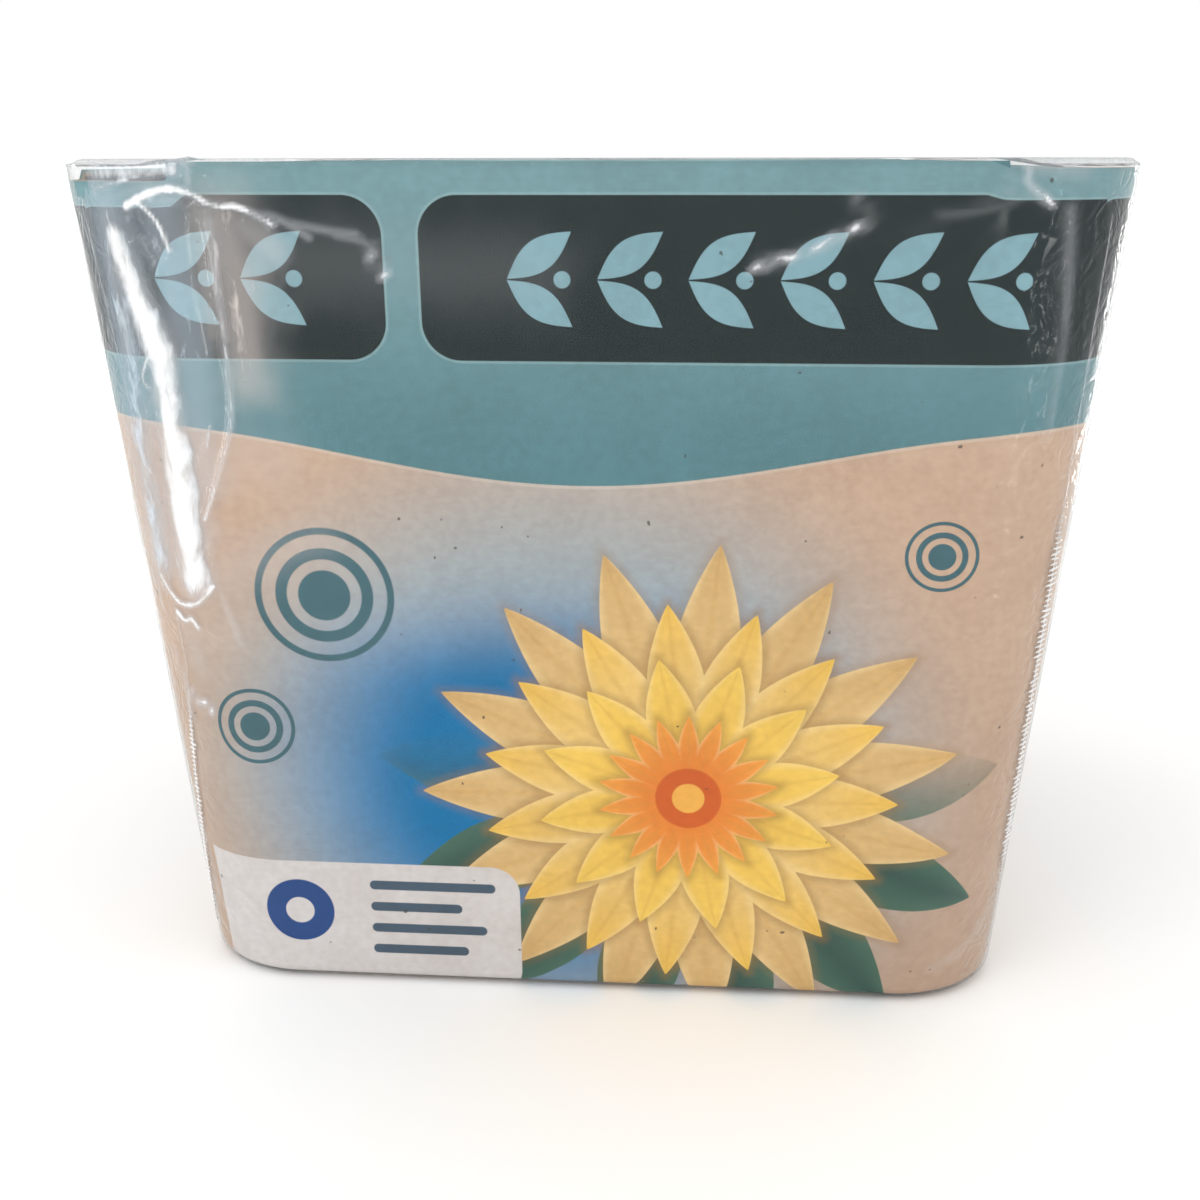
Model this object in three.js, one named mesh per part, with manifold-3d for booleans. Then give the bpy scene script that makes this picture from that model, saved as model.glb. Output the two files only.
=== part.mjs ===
// A planting kit in a shrink-wrapped carton, in millimetres, +Z up, standing on z = 0 with its
// axis on z. The carton is a tapered square tub of card with rounded corners, wider at the top,
// closed by flaps at both ends. A clear film is shrunk over all of it. Inside are the planting
// basket that gives the carton its shape, a bag of substrate, a rhizome and a leaflet.
import * as THREE from "three";
import { mergeVertices } from "three/addons/utils/BufferGeometryUtils.js";
import Module from "manifold-3d";

const wasm = await Module();
wasm.setup();

// The package over the outside of its film.
const HEIGHT = 167;
const TOP_WIDTH = 200;
const BASE_WIDTH = 169;
const BASE_CORNER = 23; // corner radius seen from above, at the base
const TOP_EDGE = 1.8; // rounding between the walls and the top
const BASE_EDGE = 3.2; // rounding between the walls and the base

// Thicknesses, and the gap that touching pieces keep.
const GAP = 0.3;
const FILM = 0.6;
const CARD = 1.2;
const BASKET_WALL = 1.6;

// The card flaps that close both ends, and the cut edge of the card at the rounded corners.
const SIDE_FLAP_TIP = 34; // how far from the middle a left or right flap ends
const FLAP_SEAM = 1; // gap where the front and back flaps meet
const BASE_LAP = 0.4; // how far a base flap's fold edge is sunk in the wall
const FLAP_TAPER = 5; // how much narrower a flap is at its tip, on each side
const FLAP_STEP = 1.5; // stretch of wall in which its top edge climbs from a corner to a fold
const CORNER_DROP = 2.4; // how far the card's top edge dips at the rounded corners
const FOLD_BEVEL = 0.6; // how much a fold takes off the wall's outer top edge

// The film's side seals and vent holes.
const SEAL_PROUD = 0.9; // how far a side seal stands out of the film
const SEAL_WIDTH = 2.2;
const SEAL_ENDS = [6, 158]; // heights where a seal starts and ends
const SEAL_FORWARD = [10, 18]; // how far in front of its corner's centre a seal runs, there
const VENT_RADIUS = 3;
const VENT_HEIGHT = 128;
const VENTS_AT = [-42, 42];

// The planting basket.
const RIM_TOP = 161; // height of the rim's upper edge
const RIM_DEPTH = 7;
const RIM_PROUD = 2.4; // how far the rim stands out of the basket's wall
const BASKET_EDGE = 5; // rounding between the basket's walls and its floor
const SLOT = { width: 5, height: 42, pitch: 14, perSide: 7, rows: [22, 82] };
const FLOOR_SLOT = { width: 5, length: 44, pitch: 16, count: 6, row: 29 };
const CUT_THROUGH = 8; // how deep a slot's cutter is, across the plastic

// What lies in the basket.
const BAG_TOP = 118;
const BAG_ROUND = 12; // rounding of the bag's upper and lower edges
const RHIZOME = { length: 92, radius: 15, turn: 24, x: 14, y: 24 };
const KNOB = { share: 0.07, waves: 6 }; // its ridges, all round the stock
const BUD = { radius: 5.5, height: 17, rise: 13, lean: 0.5, at: [-0.28, -0.08, 0.12, 0.3] };
const LEAFLET = { width: 105, depth: 62, sheet: 0.5, turn: -7, x: -6, y: -36 };

const CORNER_STEPS = 8;
const SIDES = ["right", "corner", "back", "corner", "left", "corner", "front", "corner"];

// Half the width and the corner radius of the rounded square at height z, inset from the film.
// The corner radius grows with the width, so all the walls narrow towards one point.
function plan(z, inset) {
  const growth = THREE.MathUtils.lerp(1, TOP_WIDTH / BASE_WIDTH, z / HEIGHT);
  return {
    half: (growth * BASE_WIDTH) / 2 - inset,
    radius: Math.max(growth * BASE_CORNER - inset, 1),
  };
}

// The points of that rounded square, anticlockwise from the right side's front end. The edge's
// height may differ between "front", "back", "left", "right" and "corner" stretches.
function ring(inset, heightOf) {
  const points = [];
  for (let quarter = 0; quarter < 4; quarter += 1) {
    const side = SIDES[2 * quarter];
    const turn = (quarter * Math.PI) / 2;
    const sideZ = heightOf(side);
    const { half, radius } = plan(sideZ, inset);
    for (const end of [-1, 1]) {
      const along = end * (half - radius - FLAP_STEP);
      points.push(turned(half, along, sideZ, turn));
    }
    const z = heightOf("corner");
    const corner = plan(z, inset);
    const centre = corner.half - corner.radius;
    for (let step = 0; step <= CORNER_STEPS; step += 1) {
      const angle = (step / CORNER_STEPS) * (Math.PI / 2);
      const x = centre + corner.radius * Math.cos(angle);
      const y = centre + corner.radius * Math.sin(angle);
      points.push(turned(x, y, z, turn));
    }
  }
  return points;
}

function turned(x, y, z, angle) {
  return new THREE.Vector3(x, y, z).applyAxisAngle(new THREE.Vector3(0, 0, 1), angle);
}

const level = (z) => () => z;

// Skins a stack of rings, each with the same number of points. A closed stack is a tube whose
// last ring meets its first; an open one is capped at both ends.
function skin(rings, closed) {
  const count = rings[0].length;
  const positions = rings.flat().flatMap((point) => point.toArray());
  const faces = [];
  const bands = closed ? rings.length : rings.length - 1;
  for (let band = 0; band < bands; band += 1) {
    const low = band * count;
    const high = ((band + 1) % rings.length) * count;
    for (let i = 0; i < count; i += 1) {
      const j = (i + 1) % count;
      faces.push(low + i, low + j, high + j, low + i, high + j, high + i);
    }
  }
  if (!closed) {
    const last = (rings.length - 1) * count;
    positions.push(0, 0, rings[0][0].z, 0, 0, rings.at(-1)[0].z);
    const bottom = rings.length * count;
    for (let i = 0; i < count; i += 1) {
      const j = (i + 1) % count;
      faces.push(bottom, j, i, bottom + 1, last + i, last + j);
    }
  }
  const geometry = new THREE.BufferGeometry();
  geometry.setAttribute("position", new THREE.Float32BufferAttribute(positions, 3));
  geometry.setIndex(faces);
  return geometry;
}

// Rings of a quarter-round edge. It starts level at height z, where the plan is inset by the
// radius more, and ends upright; up is 1 for a lower edge and -1 for an upper one.
function roundedEdge(z, inset, radius, up, steps) {
  const rings = [];
  for (let step = 0; step <= steps; step += 1) {
    const angle = (step / steps) * (Math.PI / 2);
    const height = z + up * radius * (1 - Math.cos(angle));
    rings.push(ring(inset + radius * (1 - Math.sin(angle)), level(height)));
  }
  return rings;
}

// The package's own shape as a solid, every face inset by the same amount.
function packageShape(inset) {
  const lower = roundedEdge(inset, inset, BASE_EDGE - inset, 1, 3);
  const upper = roundedEdge(HEIGHT - inset, inset, TOP_EDGE - inset, -1, 2);
  return skin([...lower, ...upper.reverse()], false);
}

// Manifold solids, for cutting and joining.
function solid(geometry) {
  const plain = geometry.index ? geometry.toNonIndexed() : geometry.clone();
  plain.deleteAttribute("normal");
  plain.deleteAttribute("uv");
  const merged = mergeVertices(plain, 1e-4);
  const mesh = new wasm.Mesh({
    numProp: 3,
    vertProperties: merged.attributes.position.array,
    triVerts: new Uint32Array(merged.index.array),
  });
  return new wasm.Manifold(mesh);
}

function geometryOf(manifold) {
  const mesh = manifold.getMesh();
  const geometry = new THREE.BufferGeometry();
  geometry.setAttribute("position", new THREE.BufferAttribute(mesh.vertProperties, 3));
  geometry.setIndex(new THREE.BufferAttribute(mesh.triVerts, 1));
  return geometry;
}

function cutAll(body, cutters) {
  return cutters.reduce((left, cutter) => left.subtract(cutter), body);
}

function joinAll(bodies) {
  return bodies.reduce((joined, body) => joined.add(body));
}

function boxAt(width, depth, height, x, y, z) {
  return new THREE.BoxGeometry(width, depth, height).translate(x, y, z);
}

// Film: a thin envelope with a proud side seal at each front corner and vent holes in the back.
function sideSeal(hand) {
  const points = SEAL_ENDS.map((z, end) => {
    const { half, radius } = plan(z, 0);
    const forward = SEAL_FORWARD[end];
    const reach = Math.sqrt(radius ** 2 - forward ** 2);
    return new THREE.Vector3(hand * (half - radius + reach), radius - half - forward, z);
  });
  const along = new THREE.Vector3().subVectors(points[1], points[0]);
  const seal = new THREE.CapsuleGeometry(SEAL_WIDTH / 2, along.length(), 3, 8);
  const upright = new THREE.Vector3(0, 1, 0);
  const turn = new THREE.Quaternion().setFromUnitVectors(upright, along.clone().normalize());
  const middle = points[0].clone().addScaledVector(along, 0.5);
  const proud = SEAL_PROUD - SEAL_WIDTH / 2;
  return seal.applyQuaternion(turn).translate(middle.x + hand * proud, middle.y, middle.z);
}

function film() {
  const inside = solid(packageShape(FILM));
  const vents = VENTS_AT.map((x) => {
    const vent = new THREE.CylinderGeometry(VENT_RADIUS, VENT_RADIUS, TOP_WIDTH / 4, 16);
    return solid(vent.translate(x, plan(VENT_HEIGHT, 0).half, VENT_HEIGHT));
  });
  const seals = [-1, 1].map((hand) => solid(sideSeal(hand)));
  const outside = joinAll([solid(packageShape(0)), ...seals]);
  return geometryOf(cutAll(outside, [inside, ...vents]));
}

// Carton: one card blank. Its wall's top edge is highest at the front and back folds, one
// thickness of card lower at the side folds, and dips at the corners.
const CARD_OUT = FILM + GAP;
const CARD_IN = CARD_OUT + CARD;
const FRONT_FOLD_TOP = HEIGHT - CARD_OUT;
const SIDE_FOLD_TOP = FRONT_FOLD_TOP - CARD - GAP;
const BASE_FLAP_TOP = CARD_IN + GAP + CARD;

function cardEdge(side) {
  if (side === "corner") return FRONT_FOLD_TOP - CORNER_DROP;
  return side === "front" || side === "back" ? FRONT_FOLD_TOP : SIDE_FOLD_TOP;
}

function cardWall() {
  const curl = BASE_EDGE - CARD_OUT;
  const outside = roundedEdge(CARD_OUT, CARD_OUT, curl, 1, 3);
  const inside = roundedEdge(CARD_IN, CARD_IN, curl - CARD, 1, 3);
  const rim = [
    ring(CARD_OUT, (side) => cardEdge(side) - FOLD_BEVEL),
    ring(CARD_OUT + FOLD_BEVEL, cardEdge),
    ring(CARD_IN, cardEdge),
  ];
  return skin([...outside, ...rim, ...inside.reverse()], true);
}

// A level flap: a trapezium from its fold in the front wall to its tip at -tip on y, turned to
// its own side. Its fold edge lies inside the wall, so flap and wall are one piece.
function flap(topZ, foldInset, tip, turn) {
  const { half, radius } = plan(topZ, foldInset);
  const foldHalf = half - radius - FLAP_STEP;
  const tipHalf = foldHalf - FLAP_TAPER;
  const outline = new THREE.Shape([
    new THREE.Vector2(-foldHalf, -half),
    new THREE.Vector2(foldHalf, -half),
    new THREE.Vector2(tipHalf, -tip),
    new THREE.Vector2(-tipHalf, -tip),
  ]);
  const board = new THREE.ExtrudeGeometry(outline, { depth: CARD, bevelEnabled: false });
  return board.translate(0, 0, topZ - CARD).rotateZ(turn);
}

function carton() {
  const flaps = [];
  for (const turn of [0, Math.PI]) {
    const sideTurn = turn + Math.PI / 2;
    flaps.push(flap(FRONT_FOLD_TOP, CARD_OUT + FOLD_BEVEL, FLAP_SEAM / 2, turn));
    flaps.push(flap(SIDE_FOLD_TOP, CARD_OUT + FOLD_BEVEL, SIDE_FLAP_TIP, sideTurn));
    flaps.push(flap(CARD_IN, BASE_EDGE - BASE_LAP, FLAP_SEAM / 2, turn));
    flaps.push(flap(BASE_FLAP_TOP, CARD_IN - BASE_LAP, SIDE_FLAP_TIP, sideTurn));
  }
  return geometryOf(joinAll([cardWall(), ...flaps].map(solid)));
}

// Basket: a slotted tub on the base flaps, whose rim meets the card.
const BASKET_FOOT = BASE_FLAP_TOP + GAP;
const BASKET_FLOOR = BASKET_FOOT + BASKET_WALL;
const RIM_OUT = CARD_IN + GAP;
const BASKET_OUT = RIM_OUT + RIM_PROUD;
const BASKET_IN = BASKET_OUT + BASKET_WALL;

function basketSlots() {
  const slots = [];
  for (let quarter = 0; quarter < 4; quarter += 1) {
    for (const low of SLOT.rows) {
      const z = low + SLOT.height / 2;
      for (let i = 0; i < SLOT.perSide; i += 1) {
        const along = (i - (SLOT.perSide - 1) / 2) * SLOT.pitch;
        const wallAt = plan(z, BASKET_OUT).half;
        const cutter = boxAt(SLOT.width, CUT_THROUGH, SLOT.height, along, wallAt, z);
        slots.push(solid(cutter.rotateZ((quarter * Math.PI) / 2)));
      }
    }
  }
  for (const y of [-FLOOR_SLOT.row, FLOOR_SLOT.row]) {
    for (let i = 0; i < FLOOR_SLOT.count; i += 1) {
      const x = (i - (FLOOR_SLOT.count - 1) / 2) * FLOOR_SLOT.pitch;
      const { width, length } = FLOOR_SLOT;
      slots.push(solid(boxAt(width, length, CUT_THROUGH, x, y, BASKET_FOOT)));
    }
  }
  return slots;
}

function basket() {
  const rimLow = RIM_TOP - RIM_DEPTH;
  const tub = skin(
    [
      ...roundedEdge(BASKET_FOOT, BASKET_OUT, BASKET_EDGE, 1, 3),
      ring(BASKET_OUT, level(rimLow)),
      ring(RIM_OUT, level(rimLow + RIM_PROUD / 2)),
      ring(RIM_OUT, level(RIM_TOP)),
      ring(BASKET_IN, level(RIM_TOP)),
      ...roundedEdge(BASKET_FLOOR, BASKET_IN, BASKET_EDGE - BASKET_WALL, 1, 3).reverse(),
    ],
    false,
  );
  return geometryOf(cutAll(solid(tub), basketSlots()));
}

// Substrate bag: a full, round-edged bag that fills the lower basket.
const BAG_OUT = BASKET_IN + GAP;

function substrateBag() {
  const lower = roundedEdge(BASKET_FLOOR + GAP, BAG_OUT, BAG_ROUND, 1, 4);
  const upper = roundedEdge(BAG_TOP, BAG_OUT, BAG_ROUND, -1, 4);
  return skin([...lower, ...upper.reverse()], false);
}

// Rhizome: a knobbed, tapering root stock with buds along its upper side.
function rhizome() {
  const profile = [new THREE.Vector2(0, 0)];
  const rings = 20;
  for (let i = 1; i < rings; i += 1) {
    const share = i / rings;
    const taper = 1.08 - 0.35 * share;
    const swell = Math.sqrt(Math.sin(Math.PI * share)) * taper;
    const knob = 1 + KNOB.share * Math.sin(2 * Math.PI * KNOB.waves * share);
    profile.push(new THREE.Vector2(RHIZOME.radius * swell * knob, RHIZOME.length * share));
  }
  profile.push(new THREE.Vector2(0, RHIZOME.length));
  const stock = new THREE.LatheGeometry(profile, 14);
  stock.translate(0, -RHIZOME.length / 2, 0).rotateZ(-Math.PI / 2);
  const buds = BUD.at.map((share, i) => {
    const bud = new THREE.ConeGeometry(BUD.radius, BUD.height, 8).translate(0, BUD.rise, 0);
    bud.rotateX(Math.PI / 2 + (i % 2 ? BUD.lean : -BUD.lean));
    return bud.translate(share * RHIZOME.length, 0, 0);
  });
  const whole = geometryOf(joinAll([stock, ...buds].map(solid)));
  whole.rotateZ(THREE.MathUtils.degToRad(RHIZOME.turn));
  whole.computeBoundingBox();
  return whole.translate(RHIZOME.x, RHIZOME.y, BAG_TOP + GAP - whole.boundingBox.min.z);
}

// Leaflet: one sheet folded in half, with the fold along its back edge.
function leaflet() {
  const { width, depth, sheet } = LEAFLET;
  const top = 2 * sheet + GAP;
  const outline = new THREE.Shape([
    new THREE.Vector2(0, 0),
    new THREE.Vector2(depth, 0),
    new THREE.Vector2(depth + top / 2, top / 2),
    new THREE.Vector2(depth, top),
    new THREE.Vector2(0, top),
    new THREE.Vector2(0, top - sheet),
    new THREE.Vector2(depth - sheet, top - sheet),
    new THREE.Vector2(depth - sheet, sheet),
    new THREE.Vector2(0, sheet),
  ]);
  const sheetBody = new THREE.ExtrudeGeometry(outline, { depth: width, bevelEnabled: false });
  sheetBody.translate(-depth / 2, 0, -width / 2).rotateX(Math.PI / 2).rotateZ(Math.PI / 2);
  sheetBody.rotateZ(THREE.MathUtils.degToRad(LEAFLET.turn));
  return sheetBody.translate(LEAFLET.x, LEAFLET.y, BAG_TOP + GAP);
}

function surface(color, roughness, opacity = 1) {
  const transparent = opacity < 1;
  return new THREE.MeshStandardMaterial({ color, roughness, metalness: 0, opacity, transparent });
}

function piece(name, geometry, material) {
  geometry.computeVertexNormals();
  const mesh = new THREE.Mesh(geometry, material);
  mesh.name = name;
  return mesh;
}

const kit = new THREE.Group();
kit.add(piece("film", film(), surface(0xeef3f5, 0.12, 0.25)));
kit.add(piece("carton", carton(), surface(0xb99c86, 0.75)));
kit.add(piece("basket", basket(), surface(0x23291f, 0.55)));
kit.add(piece("substrate_bag", substrateBag(), surface(0x3a2c21, 0.6)));
kit.add(piece("rhizome", rhizome(), surface(0x6b5138, 0.9)));
kit.add(piece("leaflet", leaflet(), surface(0xe9e6dd, 0.8)));

export default kit;
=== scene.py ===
"""Dresses a shrink-wrapped planting kit carton: clear film, printed card and what lies inside."""

import math

import bmesh
import bpy
import numpy as np
from bpy.props import FloatProperty, FloatVectorProperty, IntProperty, PointerProperty
from mathutils import Matrix, Vector, noise


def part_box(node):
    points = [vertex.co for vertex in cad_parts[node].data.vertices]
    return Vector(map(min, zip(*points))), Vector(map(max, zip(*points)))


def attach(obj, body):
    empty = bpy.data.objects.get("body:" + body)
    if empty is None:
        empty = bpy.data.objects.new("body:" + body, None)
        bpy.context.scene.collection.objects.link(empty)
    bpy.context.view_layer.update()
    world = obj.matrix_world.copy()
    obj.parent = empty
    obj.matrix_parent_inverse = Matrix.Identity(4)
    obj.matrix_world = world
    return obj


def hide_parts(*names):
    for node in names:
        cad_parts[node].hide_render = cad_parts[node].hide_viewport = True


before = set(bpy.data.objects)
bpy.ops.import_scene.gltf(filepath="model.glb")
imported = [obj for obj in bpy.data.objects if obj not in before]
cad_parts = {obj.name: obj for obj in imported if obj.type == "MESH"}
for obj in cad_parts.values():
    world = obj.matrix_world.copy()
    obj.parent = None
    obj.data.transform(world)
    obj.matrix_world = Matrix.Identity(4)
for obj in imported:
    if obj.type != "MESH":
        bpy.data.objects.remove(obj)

bl_info = {
    "name": "Planting Kit Carton",
    "version": (1, 0, 0),
    "blender": (4, 5, 0),
    "location": "3D View > Sidebar > Planting Kit",
    "description": "Builds a shrink-wrapped planting kit carton piece by piece",
    "category": "Add Mesh",
}

bpy.context.view_layer.update()
FILM_LOW, FILM_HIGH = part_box("film")
MM = 0.001

# The package over its film, in millimetres.
HEIGHT = FILM_HIGH.z / MM
TOP_WIDTH = 200.0
BASE_WIDTH = 169.0
BASE_CORNER = 23.0
TOP_EDGE = 1.8
BASE_EDGE = 3.2
# Half of the straight stretch of one side, at the base and at the top.
BASE_STRAIGHT = BASE_WIDTH / 2 - BASE_CORNER
TOP_STRAIGHT = TOP_WIDTH / BASE_WIDTH * BASE_STRAIGHT

# How deep film and card lie under the outside of the film's solid, and how thick the card is.
FILM_INSET = 0.45
CARD_INSET = 0.9
CARD_THICKNESS = 1.2

# The card's folds and flaps, in millimetres.
FOLD_ROUND = 0.6
FRONT_FOLD = HEIGHT - CARD_INSET
SIDE_FOLD = FRONT_FOLD - 1.5
FLAP_STEP = 1.5
FLAP_TAPER = 5.0
FLAP_SEAM = 0.5
SIDE_FLAP_TIP = 34.0
BASE_INNER_FLAP = 2.4

# Signs of x and y at the front-left, front-right, back-right and back-left corner, and the
# height of the card's cut edge there.
CORNERS = ((-1, -1), (1, -1), (1, 1), (-1, 1))
CORNER_EDGES = (162.7, 164.8, 164.2, 163.9)

# Mesh steps round one corner, along one side and up the wall.
FILM_STEPS = (24, 70, 96)
CARD_STEPS = (16, 48, 66)
FILM_FINE_CUTS = 2
FLAP_ROWS = 26

# Panels 0 to 3 of the print are the front, right, back and left wall, and these are the ends.
TOP_PANEL = 4
BASE_PANEL = 5


# --------------------------------------------------------------------------------------------
# Settings


def colour(name, description, red, green, blue):
    """A colour property whose default is given in screen values from 0 to 255."""
    default = srgb(red, green, blue)
    return FloatVectorProperty(
        name=name, description=description, subtype="COLOR", size=3, min=0, max=1, default=default
    )


def srgb(red, green, blue):
    """Scene-linear colour of a screen colour."""
    def linear(value):
        share = value / 255
        return share / 12.92 if share <= 0.04045 else ((share + 0.055) / 1.055) ** 2.4
    return tuple(linear(value) for value in (red, green, blue))


class KitFilmSettings(bpy.types.PropertyGroup):
    """Sizes and finish of the shrink film."""

    # Scales the film's milkiness, and with it the painted glare that the milkiness carries.
    haze: FloatProperty(
        name="Haze", description="Milkiness of the film where it stands off the card",
        default=0.93, min=0, max=1, subtype="FACTOR",
    )
    roughness: FloatProperty(
        name="Roughness", description="How much the film blurs what it mirrors",
        default=0.07, min=0, max=1, subtype="FACTOR",
    )
    crease_height: FloatProperty(
        name="Crease Height", description="Height of a small crease in the film",
        default=0.32 * MM, min=0, max=2 * MM, unit="LENGTH",
    )
    small_creases: IntProperty(
        name="Small Creases", description="Small creases at each upper corner",
        default=26, min=0, max=200,
    )
    gather_pitch: FloatProperty(
        name="Gather Pitch", description="Distance between the gathers of a side seal",
        default=1.05 * MM, min=0.5 * MM, max=5 * MM, unit="LENGTH",
    )


class KitCardSettings(bpy.types.PropertyGroup):
    """Colours of the printed card."""

    teal: colour("Teal", "Upper field", 88, 132, 140)
    slate: colour("Slate", "Belt under the top", 24, 38, 39)
    belt_leaf: colour("Belt Leaf", "Leaves on the belt", 130, 168, 178)
    kraft: colour("Kraft", "Printed kraft ground", 196, 167, 144)
    bare: colour("Bare Kraft", "Unprinted card inside and at cut edges", 170, 138, 104)
    glow: colour("Glow", "Deep blue behind the rosette", 0, 112, 166)
    glow_edge: colour("Glow Edge", "Pale blue where the glow fades", 158, 172, 178)
    petal: colour("Outer Petal", "Outer ring of the rosette", 226, 196, 138)
    petal_warm: colour("Inner Petal", "Inner rings of the rosette", 232, 188, 84)
    heart: colour("Heart", "Middle of the rosette", 224, 124, 46)
    leaf: colour("Leaf", "Leaves behind the rosette", 52, 84, 76)
    ripple: colour("Ripple", "Ripple rings", 66, 101, 110)
    panel: colour("Panel", "Off-white panel", 208, 203, 201)
    mark: colour("Mark", "Blue mark on the panel", 34, 70, 128)


class KitContentsSettings(bpy.types.PropertyGroup):
    """Colours of what lies in the carton."""

    basket: colour("Basket", "Moulded plastic of the basket", 38, 42, 39)
    soil: colour("Soil", "Soil that shows through the bag", 58, 43, 32)
    bark: colour("Bark", "Bark of the rhizome", 92, 68, 44)
    bud: colour("Bud", "Buds of the rhizome", 176, 158, 96)
    paper: colour("Paper", "Leaflet paper", 222, 219, 210)


class KitStageSettings(bpy.types.PropertyGroup):
    """Camera and light."""

    lens: FloatProperty(
        name="Lens", description="Focal length of the camera",
        default=48.05, min=10, max=200, unit="CAMERA",
    )
    key_power: FloatProperty(
        name="Key Power", description="Power of the large soft light",
        default=5.0, min=0, unit="POWER",
    )
    strip_power: FloatProperty(
        name="Strip Power", description="Power of the low strip light",
        default=0.07, min=0, unit="POWER",
    )
    sky: FloatProperty(name="Sky", description="Strength of the even light", default=1.0, min=0)


# --------------------------------------------------------------------------------------------
# Shape of the package


def growth_at(height):
    """How many times as wide as at its base the package is at a height."""
    return 1 + (TOP_WIDTH / BASE_WIDTH - 1) * height / HEIGHT


def plan(height, inset):
    """Half width and corner radius, in millimetres, at a height, inset from the film."""
    growth = growth_at(height)
    return growth * BASE_WIDTH / 2 - inset, growth * BASE_CORNER - inset


def rounded_edge(low, inset, radius, upward, steps):
    """Heights and insets of a quarter-round edge, from the level face to the upright wall."""
    rows = []
    for step in range(steps + 1):
        angle = step / steps * math.pi / 2
        height = low + upward * radius * (1 - math.cos(angle))
        rows.append((height, inset + radius * (1 - math.sin(angle))))
    return rows


def around(points, inset):
    """For points on the walls: the nearest point of the core, the corner radius and the turn.

    The core is the square between the centres of the rounded corners. The turn is the angle of
    the wall's normal from the front's, positive to the right.
    """
    growth = growth_at(points[:, 2])
    radius = growth * BASE_CORNER - inset
    flat = growth * BASE_STRAIGHT
    core_x = np.clip(points[:, 0], -flat, flat)
    core_y = np.clip(points[:, 1], -flat, flat)
    turn = np.arctan2(points[:, 0] - core_x, -(points[:, 1] - core_y))
    return core_x, core_y, radius, turn


def panel_place(points, turn_of_face, inset):
    """Panel of each point, its distance from that panel's middle line, and the panel's width."""
    core_x, core_y, radius, turn = around(points, inset)
    panel = np.round(turn_of_face / (math.pi / 2)).astype(int)
    offset = turn - panel * math.pi / 2
    offset = (offset + math.pi) % (2 * math.pi) - math.pi
    panel = panel % 4
    along = np.choose(panel, (core_x, core_y, -core_x, -core_y))
    width = 2 * (growth_at(points[:, 2]) * BASE_STRAIGHT + radius * math.pi / 4)
    return panel, along + radius * offset, width


# --------------------------------------------------------------------------------------------
# Mesh helpers


def begin(name):
    """Starts a piece with an empty mesh, active and in edit mode."""
    bpy.ops.object.select_all(action="DESELECT")
    bpy.ops.mesh.primitive_plane_add(size=MM, location=(0, 0, 0))
    piece = bpy.context.active_object
    piece.name = name
    piece.data.name = name
    bpy.ops.object.mode_set(mode="EDIT")
    bpy.ops.mesh.select_all(action="SELECT")
    bpy.ops.mesh.delete(type="VERT")
    return piece


def edit(piece):
    """The edited mesh of a piece, with fresh index tables."""
    mesh = bmesh.from_edit_mesh(piece.data)
    mesh.verts.ensure_lookup_table()
    mesh.edges.ensure_lookup_table()
    mesh.faces.ensure_lookup_table()
    return mesh


def choose(piece, kind, test):
    """Selects the vertices, edges or faces that pass a test, and nothing else."""
    bpy.ops.mesh.select_mode(type={"verts": "VERT", "edges": "EDGE", "faces": "FACE"}[kind])
    bpy.ops.mesh.select_all(action="DESELECT")
    mesh = edit(piece)
    chosen = [element for element in getattr(mesh, kind) if test(element)]
    if not chosen:
        raise RuntimeError(f"{piece.name} has no {kind} where they are looked for")
    for element in chosen:
        element.select_set(True)
    mesh.select_flush_mode()
    bmesh.update_edit_mesh(piece.data)


def outline(piece, height, inset, steps):
    """Adds the outline of the package at one height to the mesh that is edited."""
    half, radius = plan(height, inset)
    level = height * MM
    bpy.ops.mesh.select_mode(type="VERT")
    bpy.ops.mesh.select_all(action="DESELECT")
    bpy.ops.mesh.primitive_plane_add(size=2 * half * MM, location=(0, 0, level))
    bpy.ops.mesh.bevel(offset=radius * MM, segments=steps[0], affect="VERTICES")
    straight = 2 * (half - radius) * MM * 0.9
    choose(piece, "edges", lambda edge: edge.calc_length() > straight and at_level(edge, level))
    bpy.ops.mesh.subdivide(number_cuts=steps[1] - 1)
    choose(piece, "faces", lambda face: at_level(face, level))
    bpy.ops.mesh.delete(type="ONLY_FACE")


def at_level(element, level):
    """Whether all vertices of an edge or face lie at one height, in metres."""
    return all(abs(vertex.co.z - level) < MM * 1e-3 for vertex in element.verts)


def bridge(piece, rows):
    """Joins neighbouring outlines with a band of faces."""
    for (low, _), (high, _) in zip(rows, rows[1:]):
        choose(piece, "edges", lambda edge: at_level(edge, low * MM) or at_level(edge, high * MM))
        bpy.ops.mesh.bridge_edge_loops()


def split_band(piece, low, high, rows):
    """Cuts the tall band between two heights into level rows."""
    def upright(edge):
        levels = sorted(vertex.co.z / MM for vertex in edge.verts)
        return abs(levels[0] - low) < 1e-3 and abs(levels[1] - high) < 1e-3
    choose(piece, "edges", upright)
    bpy.ops.mesh.subdivide(number_cuts=rows - 1)


def close_end(piece, level, steps):
    """Fills a level outline with a grid whose corners lie at the middle of the rounded corners."""
    choose(piece, "edges", lambda edge: at_level(edge, level * MM))
    mesh = edit(piece)
    ring = [vertex for vertex in mesh.verts if vertex.select]
    corner = max(ring, key=lambda vertex: vertex.co.x + vertex.co.y)
    mesh.select_history.clear()
    mesh.select_history.add(corner)
    bmesh.update_edit_mesh(piece.data)
    bpy.ops.mesh.fill_grid(span=steps[0] + steps[1], offset=0, use_interp_simple=False)


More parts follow.
